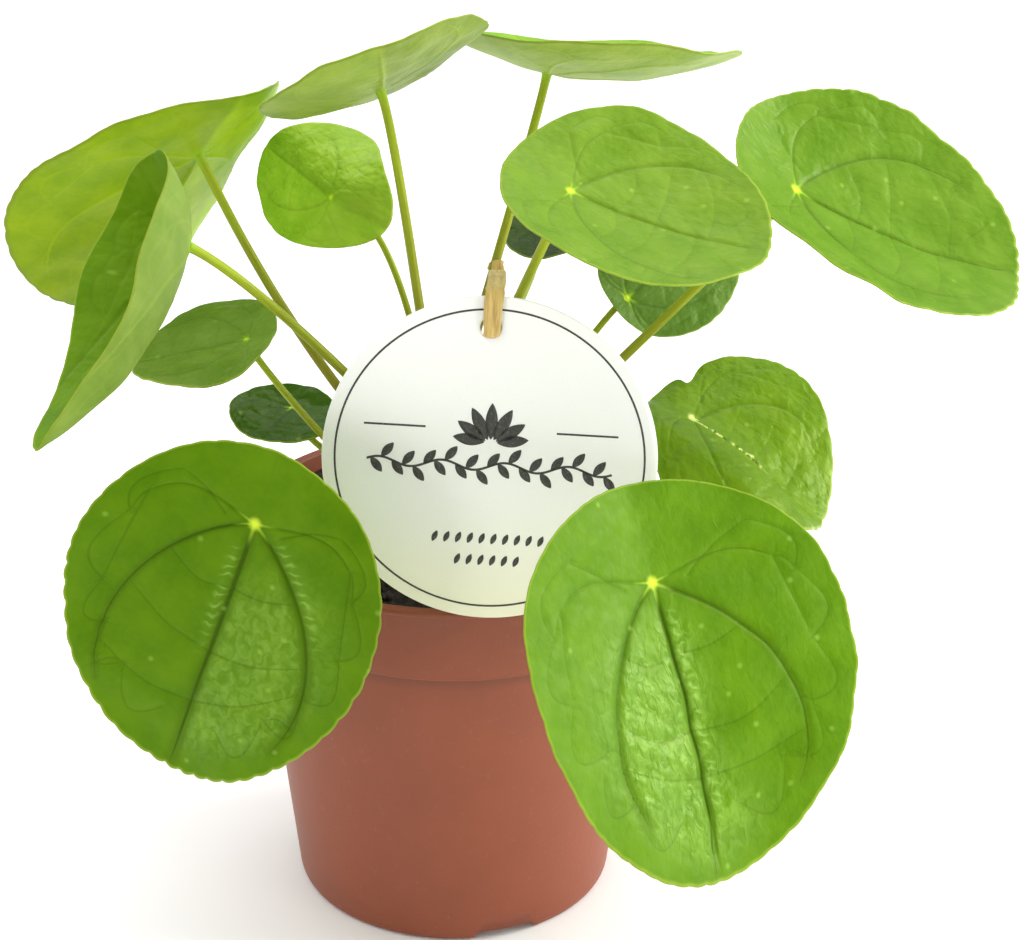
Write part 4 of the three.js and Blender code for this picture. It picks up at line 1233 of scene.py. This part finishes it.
def print_shells(settings):
    """The tag's plain print: a thin ring, two short rules with a fan of leaves between them, a
    leafy garland on a wavy stem and two rows of small leaves below. All but the ring leans."""
    lean, line = PRINT["lean"], PRINT["line"]
    cosine, sine = math.cos(math.radians(lean)), math.sin(math.radians(lean))

    def hung(x, y):
        return x * cosine - y * sine, x * sine + y * cosine

    def stem_height(x):
        wave = np.sin(2 * math.pi * x / PRINT["garland_length"])
        return PRINT["garland_up"] + PRINT["garland_wave"] * wave

    around = round_angles(240)
    ring = settings.ring_radius / MM
    shells = [ink_strip(ring * np.cos(around), ring * np.sin(around), line, closed=True)]
    rule = np.linspace(*PRINT["rule"], 8)
    for side in (-1, 1):
        shells.append(ink_strip(*hung(side * rule, 0 * rule + PRINT["rule_up"]), line))
    for angle, length in PRINT["fan"]:
        direction = math.radians(angle)
        wide, high = PRINT["fan_oval"]
        foot = hung(wide * math.cos(direction), PRINT["fan_up"] + high * math.sin(direction))
        shells.append(ink_leaf(*foot, angle + lean, length, PRINT["fan_width"]))
    stem = np.linspace(*PRINT["garland"], 90)
    shells.append(ink_strip(*hung(stem, stem_height(stem)), PRINT["stem"]))
    for number, x in enumerate(np.linspace(*PRINT["garland_leaves"])):
        angle = PRINT["garland_angle"] * (1 if number % 2 else -1)
        shells.append(ink_leaf(*hung(x, stem_height(x)), angle + lean, *PRINT["garland_leaf"]))
    for y, reach, count in PRINT["rows"]:
        for x in np.linspace(-reach, reach, count):
            shells.append(ink_leaf(*hung(x, y), PRINT["row_angle"] + lean, *PRINT["row_leaf"]))
    return shells


def smooth_card(settings):
    """Uncoated off-white card: matt, a little creamy towards the bottom, with a faint tooth."""
    material, tree = new_material("smooth_card")
    card = node(tree, "ShaderNodeUVMap", {"uv_map": "Card"})
    height = node(tree, "ShaderNodeSeparateXYZ", None, (card,)).outputs["Y"]
    fall = node(tree, "ShaderNodeMapRange", EASED, (height, -0.08, -0.44))
    fibres = node(tree, "ShaderNodeTexNoise", FLAT, (card, 160.0, 4.0, 0.7))
    specks = node(tree, "ShaderNodeMapRange", None, (fibres, 0.55, 0.8, 0.0, 0.12))
    colour = settings.card_colour
    for factor, tint in ((fall, settings.cream_colour), (specks, linear(TINTS["card_speck"]))):
        colour = node(tree, "ShaderNodeMix", TINTED, (factor, colour, tint))
    finish_material(tree, {
        "Base Color": colour, "Roughness": 0.62, "Specular IOR Level": 0.3,
    }, (0.15, 0.2, fibres))
    return material


def printed_ink(settings):
    """Dark grey offset ink, thin and slightly uneven over the card's tooth."""
    material, tree = new_material("printed_ink")
    place = node(tree, "ShaderNodeTexCoord").outputs["Object"]
    worn = node(tree, "ShaderNodeTexNoise", None, (place, 1500.0, 2.0, 0.6))
    worn = node(tree, "ShaderNodeMapRange", None, (worn, 0.5, 0.8, 0.0, 0.3))
    ink = (worn, settings.ink_colour, linear(TINTS["worn_ink"]))
    colour = node(tree, "ShaderNodeMix", TINTED, ink)
    finish_material(tree, {"Base Color": colour, "Roughness": 0.55})
    return material


# Tie

def tie_route():
    """The loop's points, each with its flat side's direction and its width. The way is the CAD
    loop's, with a few points moved by a few millimetres."""
    front, side, rise = tag_axes()[1:]
    held = next(leaf for leaf in LEAVES if leaf["name"] == TIE["holds"])
    hole = on_tag(0, TAG["hole_up"], -TAG["thickness"] / 2)
    share = np.linspace(0, 1, 400)
    stalk = stalk_curve(held, share)
    nearest = np.abs(stalk[:, 2] - TIE["height"]).argmin()
    axis = unit(stalk[nearest + 1] - stalk[nearest - 1])
    knot = stalk[nearest]
    reach = held["radii"][1] + TIE["thickness"] / 2
    ahead = TAG["thickness"] / 2 + TIE["clear"] - TIE["thickness"] / 2
    edge = TAG["radius"] - TAG["hole_up"]
    above = TIE["leg_gap"] / 2
    wide, narrow, thread = TIE["width"], TIE["hole_width"], TIE["loop_width"]

    def at(right, up, out):
        return hole + right * side + up * rise + out * front

    over_card = at(1, edge + TIE["clear"], -4)
    half_way = (over_card + knot + [0.6, 0, above]) / 2
    route = [
        (at(0, -2.2, 0), side, narrow * 1.2),
        (at(0.3, 0.8, ahead), side, wide * 0.9),
        (at(0.8, edge, ahead), side, wide),
        (at(0.9, edge + TIE["clear"], 0), side, wide),
        (over_card, side, wide),
        (half_way, side, wide * 0.95),
        (knot + [0.5, -reach - 2.6, -2 * above], side, wide * 0.85),
        (knot + [0.4, -reach - 2.2, above], side, wide * 0.6),
        (knot + [0.6, -reach - 0.7, above], side, thread),
        (knot + [reach, -0.3, -above / 2], axis, thread),
        (knot + [0, reach, -above], axis, thread),
        (knot + [-reach, 0, -above], axis, thread),
        (knot + [0, -reach, -2 * above], side, thread),
        (at(0, 1, -30), side, thread),
        (at(0, -1, -6), side, narrow),
    ]
    return np.array([[*point, *direction, width] for point, direction, width in route])


def tie_shell():
    """A flat band with round edges along the route: each section is a flattened superellipse,
    a little crimped lengthwise."""
    steps, sides = 420, 20
    line = closed_curve(tie_route(), steps)
    centre, across, width = line[:, :3], line[:, 3:6], line[:, 6]
    tangent = unit(np.roll(centre, -1, 0) - np.roll(centre, 1, 0))
    across = unit(across - (across * tangent).sum(1, keepdims=True) * tangent)
    flat = np.cross(tangent, across)
    turn = round_angles(sides)
    wide = np.sign(np.cos(turn)) * np.abs(np.cos(turn)) ** 0.7
    deep = np.sign(np.sin(turn)) * np.abs(np.sin(turn)) ** 0.7
    crimp = 1 + 0.05 * np.cos(3 * turn)[None] * np.sin(np.arange(steps) / 9)[:, None]
    thick = TIE["thickness"] * (0.6 + 0.4 * smooth(TIE["loop_width"], TIE["width"], width))
    rings = (
        centre[:, None]
        + across[:, None] * (wide * crimp)[..., None] * width[:, None, None] / 2
        + flat[:, None] * (deep * crimp)[..., None] * thick[:, None, None] / 2
    )
    length = np.cumsum(np.linalg.norm(np.diff(centre, axis=0, prepend=centre[-1:]), axis=1))
    chart = np.stack([np.repeat(length, sides), np.tile(turn, steps)], 1) / CHART
    return tube_shell(rings, closed=True, charts={"Band": chart})


def dry_raffia(settings):
    """Dried palm strip: tan, with fine fibres along it and a dull sheen."""
    material, tree = new_material("dry_raffia")
    band = node(tree, "ShaderNodeUVMap", {"uv_map": "Band"})
    stretched = node(tree, "ShaderNodeMapping", None, {"Vector": band, "Scale": (12.0, 260.0, 1.0)})
    fibres = node(tree, "ShaderNodeTexNoise", FLAT, (stretched, 1.0, 3.0, 0.6))
    mix = node(tree, "ShaderNodeMapRange", None, (fibres, 0.3, 0.7))
    straw = (mix, settings.raffia_dark_colour, settings.raffia_colour)
    colour = node(tree, "ShaderNodeMix", TINTED, straw)
    finish_material(tree, {
        "Base Color": colour, "Roughness": 0.58, "Sheen Weight": 0.2, "Sheen Roughness": 0.4,
    }, (0.6, 0.4, fibres))
    return material


# Stage

def pale_floor(settings):
    """Matt white painted board, with a barely visible unevenness."""
    material, tree = new_material("pale_floor")
    place = node(tree, "ShaderNodeTexCoord").outputs["Object"]
    clouds = node(tree, "ShaderNodeTexNoise", None, (place, 2.0, 2.0))
    paint = (clouds, settings.floor_colour, linear(TINTS["floor_cloud"]))
    colour = node(tree, "ShaderNodeMix", TINTED, paint)
    finish_material(tree, {"Base Color": colour, "Roughness": 0.9, "Specular IOR Level": 0.2})
    return material


def add_lamp(name, place, target, width, power):
    """A square soft light at a place in millimetres, turned towards its target."""
    lamp = bpy.data.lights.new(name, "AREA")
    lamp.shape = "SQUARE"
    lamp.size = width * MM
    lamp.energy = power
    holder = bpy.data.objects.new(name, lamp)
    holder.location = Vector(place) * MM
    holder.rotation_euler = (Vector(target) - Vector(place)).to_track_quat("-Z", "Y").to_euler()
    bpy.context.scene.collection.objects.link(holder)


def add_camera(settings):
    """The photo's viewpoint, from its place, its pitch below the horizon, yaw and roll."""
    pitch, yaw, roll = settings.camera_pitch, settings.camera_yaw, settings.camera_roll
    level = Vector((math.cos(yaw), -math.sin(yaw), 0))
    flat = Vector((math.sin(yaw), math.cos(yaw), 0))
    ahead = flat * math.cos(pitch) - Vector((0, 0, math.sin(pitch)))
    above = level.cross(ahead)
    right = math.cos(roll) * level + math.sin(roll) * above
    top = math.cos(roll) * above - math.sin(roll) * level
    turned = Matrix((right, top, -ahead)).transposed()
    data = bpy.data.cameras.new("camera")
    data.sensor_width = 36
    data.lens = settings.camera_lens
    data.clip_start, data.clip_end = 0.02, 20
    camera = bpy.data.objects.new("camera", data)
    camera.matrix_world = Matrix.Translation(settings.camera_place) @ turned.to_4x4()
    bpy.context.scene.collection.objects.link(camera)
    bpy.context.scene.camera = camera


# Settings

def colour_property(name, description, hexadecimal):
    return bpy.props.FloatVectorProperty(
        name=name, description=description, subtype="COLOR", size=4, min=0, max=1,
        default=linear(hexadecimal),
    )


def length_property(name, description, usual, least, most):
    return bpy.props.FloatProperty(
        name=name, description=description, unit="LENGTH", default=usual * MM, min=least * MM,
        max=most * MM,
    )


def angle_property(name, description, degrees):
    return bpy.props.FloatProperty(
        name=name, description=description, subtype="ANGLE", default=math.radians(degrees),
    )


class MoneyPlantLeafSettings(bpy.types.PropertyGroup):
    scallop_pitch: length_property("Scallop width", "Width of one lobe of a leaf's margin", 5.6, 2, 20)
    scallop_depth: length_property("Scallop depth", "Depth of the notches between lobes", 0.75, 0, 3)
    vein_depth: length_property("Vein depth", "Twice the depth of the midrib's groove", 1.0, 0, 3)
    vein_shade: bpy.props.FloatProperty(
        name="Vein shade", description="Brightness of the veins beside the leaf around them",
        default=0.42, min=0, max=2, subtype="FACTOR")
    spot_colour: colour_property("Stalk spot", "Bright spot above the stalk", 0xCBE23C)
    ray_colour: colour_property("Rays", "Pale start of the veins round that spot", 0x93BC2C)
    painted_rim_highlight_colour: colour_property("Rim", "Painted highlight along the leaf's thin edge", 0xA3B540)
    speck_colour: colour_property("Specks", "Small pale specks on the upper side", 0xB4D860)
    crease_highlight_colour: colour_property("Flecks", "Pale flecks of painted highlight on a crease", 0xD9E08C)
    painted_sheen_colour: colour_property("Painted sheen", "Painted mottled sheen between two strong veins", 0x9CC65A)
    stalk_colour: colour_property("Stalk", "Upper part of the stalks", 0x9CAE2A)
    stalk_foot_colour: colour_property("Stalk foot", "Lower part of the stalks", 0x7C6E2C)
    bark_colour: colour_property("Bark", "Bark of the stem", 0x5A4A30)


class MoneyPlantPotSettings(bpy.types.PropertyGroup):
    pot_colour: colour_property("Pot", "Plastic of the pot", 0x8A472D)
    pot_dark_colour: colour_property("Pot clouds", "Darker clouds in the plastic", 0x7E4027)
    dust_colour: colour_property("Dust", "Dust on the pot", 0xB98A72)
    soil_colour: colour_property("Soil", "Moist soil", 0x17120F)
    peat_colour: colour_property("Peat", "Drier crumbs in the soil", 0x3A2D24)
    crumbs: bpy.props.IntProperty(
        name="Crumbs", description="Number of loose crumbs on the soil", default=620, min=1, max=2000)


class MoneyPlantTagSettings(bpy.types.PropertyGroup):
    ring_radius: length_property("Ring radius", "Radius of the printed ring", 39.1, 30, 42)
    card_colour: colour_property("Card", "Upper part of the card", 0xF3F3F0)
    cream_colour: colour_property("Card below", "Lower part of the card", 0xE9E6CC)
    ink_colour: colour_property("Ink", "Print on the card", 0x34342F)
    raffia_colour: colour_property("Raffia", "Light fibres of the tie", 0xD6B96E)
    raffia_dark_colour: colour_property("Raffia shade", "Dark fibres of the tie", 0xB08F4C)


class MoneyPlantStageSettings(bpy.types.PropertyGroup):
    floor_colour: colour_property("Floor", "The surface that the pot stands on", 0xFBFBFB)
    camera_place: bpy.props.FloatVectorProperty(
        name="Camera", description="Where the camera stands", subtype="TRANSLATION", unit="LENGTH",
        default=(3.6 * MM, -608.1 * MM, 401.1 * MM))
    camera_pitch: angle_property("Pitch", "How far the camera looks down", 24.38)
    camera_yaw: angle_property("Yaw", "How far the camera looks to the right", 1.16)
    camera_roll: angle_property("Roll", "How far the camera leans", 0.7)
    camera_lens: bpy.props.FloatProperty(
        name="Lens", description="Focal length on a 36 mm sensor", subtype="DISTANCE_CAMERA",
        default=84.375)
    lamp_power: bpy.props.FloatProperty(
        name="Lamp power", description="Power of the main soft light", subtype="POWER", default=11.0)
    sky: bpy.props.FloatProperty(
        name="Sky", description="Strength of the even light from all round", default=0.5, min=0)


# Operators

class MONEYPLANT_OT_leaves(bpy.types.Operator):
    """Build the leaves, each with its stalk"""

    bl_idname = "money_plant.leaves"
    bl_label = "Build leaves"

    def execute(self, context):
        settings = context.scene.money_plant_leaves
        for seed, leaf in enumerate(LEAVES):
            skins = (waxy_upper_skin, matt_lower_skin, stalk_skin)
            materials = [skin(leaf, settings) for skin in skins]
            blade = blade_shell(leaf, seed, settings)
            piece = put_mesh(leaf["name"] + "_fine", [blade, stalk_shell(leaf)], materials)
            if leaf["name"] in SHADED_LEAVES:
                slot = "leaf_shade"
            else:
                slot = "leaf_young" if "young" in leaf["name"] else "leaf_green"
            seat(piece, slot, leaf["name"])
        return {"FINISHED"}


class MONEYPLANT_OT_stem(bpy.types.Operator):
    """Build the short scarred stem"""

    bl_idname = "money_plant.stem"
    bl_label = "Build stem"

    def execute(self, context):
        piece = put_mesh("stem_fine", [stem_shell()], [scarred_bark(context.scene.money_plant_leaves)])
        seat(piece, "stem_bark", "stem")
        return {"FINISHED"}


class MONEYPLANT_OT_pot(bpy.types.Operator):
    """Build the plastic nursery pot"""

    bl_idname = "money_plant.pot"
    bl_label = "Build pot"

    def execute(self, context):
        material = moulded_terracotta_plastic(context.scene.money_plant_pot)
        piece = put_mesh("pot_fine", [pot_shell()], [material])
        drain_holes(piece)
        seat(piece, "pot_plastic", "pot")
        return {"FINISHED"}


class MONEYPLANT_OT_soil(bpy.types.Operator):
    """Build the soil and the loose crumbs on it"""

    bl_idname = "money_plant.soil"
    bl_label = "Build soil"

    def execute(self, context):
        settings = context.scene.money_plant_pot
        material = moist_potting_soil(settings)
        seat(put_mesh("soil_fine", [soil_shell()], [material]), "soil", "soil")
        seat(put_mesh("soil_crumbs", [crumb_shell(settings)], [material]), "soil")
        return {"FINISHED"}


class MONEYPLANT_OT_tag(bpy.types.Operator):
    """Build the round card tag and its plain print"""

    bl_idname = "money_plant.tag"
    bl_label = "Build tag"

    def execute(self, context):
        settings = context.scene.money_plant_tag
        seat(put_mesh("tag_card", [card_shell()], [smooth_card(settings)]), "tag_card", "tag")
        seat(put_mesh("tag_print", print_shells(settings), [printed_ink(settings)]), "tag_card")
        return {"FINISHED"}


class MONEYPLANT_OT_tie(bpy.types.Operator):
    """Build the raffia loop that holds the tag"""

    bl_idname = "money_plant.tie"
    bl_label = "Build tie"

    def execute(self, context):
        piece = put_mesh("tie_band", [tie_shell()], [dry_raffia(context.scene.money_plant_tag)])
        seat(piece, "tie_raffia", "tie")
        return {"FINISHED"}


class MONEYPLANT_OT_stage(bpy.types.Operator):
    """Build the pale floor, the soft lights and the camera"""

    bl_idname = "money_plant.stage"
    bl_label = "Build stage"

    def execute(self, context):
        settings = context.scene.money_plant_stage
        corners = FLOOR_REACH * np.array([[-1.0, -1, 0], [1, -1, 0], [1, 1, 0], [-1, 1, 0]])
        shell = dict(points=corners, faces=[(np.array([[0, 1, 2, 3]]), 0)])
        floor = put_mesh("floor", [shell], [pale_floor(settings)])
        for name, (place, target, width, power) in LAMPS.items():
            add_lamp(name, place, target, width, settings.lamp_power * power)
        world = bpy.data.worlds.new("studio")
        context.scene.world = world
        world.use_nodes = True
        world.node_tree.nodes.clear()
        sky = node(world.node_tree, "ShaderNodeBackground", None,
                   {"Color": (1, 1, 1, 1), "Strength": settings.sky})
        node(world.node_tree, "ShaderNodeOutputWorld", None, {"Surface": sky})
        context.scene.view_settings.view_transform = "Standard"
        add_camera(settings)
        return {"FINISHED"}


class MONEYPLANT_PT_panel(bpy.types.Panel):
    """Lists the sizes and colours, and the buttons that build the pieces"""

    bl_label = "Money plant"
    bl_idname = "MONEYPLANT_PT_panel"
    bl_space_type = "VIEW_3D"
    bl_region_type = "UI"
    bl_category = "Money plant"

    def draw(self, context):
        scene = context.scene
        groups = (
            (scene.money_plant_pot, (MONEYPLANT_OT_pot, MONEYPLANT_OT_soil)),
            (scene.money_plant_leaves, (MONEYPLANT_OT_stem, MONEYPLANT_OT_leaves)),
            (scene.money_plant_tag, (MONEYPLANT_OT_tag, MONEYPLANT_OT_tie)),
            (scene.money_plant_stage, (MONEYPLANT_OT_stage,)),
        )
        for settings, operators in groups:
            box = self.layout.box()
            for name in settings.__annotations__:
                box.prop(settings, name)
            for operator in operators:
                box.operator(operator.bl_idname)


SETTINGS = {
    "money_plant_leaves": MoneyPlantLeafSettings,
    "money_plant_pot": MoneyPlantPotSettings,
    "money_plant_tag": MoneyPlantTagSettings,
    "money_plant_stage": MoneyPlantStageSettings,
}
OPERATORS = (
    MONEYPLANT_OT_pot, MONEYPLANT_OT_soil, MONEYPLANT_OT_stem, MONEYPLANT_OT_leaves,
    MONEYPLANT_OT_tag, MONEYPLANT_OT_tie, MONEYPLANT_OT_stage,
)


def register():
    for name, group in SETTINGS.items():
        bpy.utils.register_class(group)
        setattr(bpy.types.Scene, name, bpy.props.PointerProperty(type=group))
    for item in (*OPERATORS, MONEYPLANT_PT_panel):
        bpy.utils.register_class(item)


def unregister():
    for item in (MONEYPLANT_PT_panel, *reversed(OPERATORS)):
        bpy.utils.unregister_class(item)
    for name, group in SETTINGS.items():
        delattr(bpy.types.Scene, name)
        bpy.utils.unregister_class(group)


def main():
    """Builds every piece and the stage."""
    register()
    bpy.ops.money_plant.pot()
    bpy.ops.money_plant.soil()
    bpy.ops.money_plant.stem()
    bpy.ops.money_plant.leaves()
    bpy.ops.money_plant.tag()
    bpy.ops.money_plant.tie()
    bpy.ops.money_plant.stage()


if __name__ == "__main__":
    main()
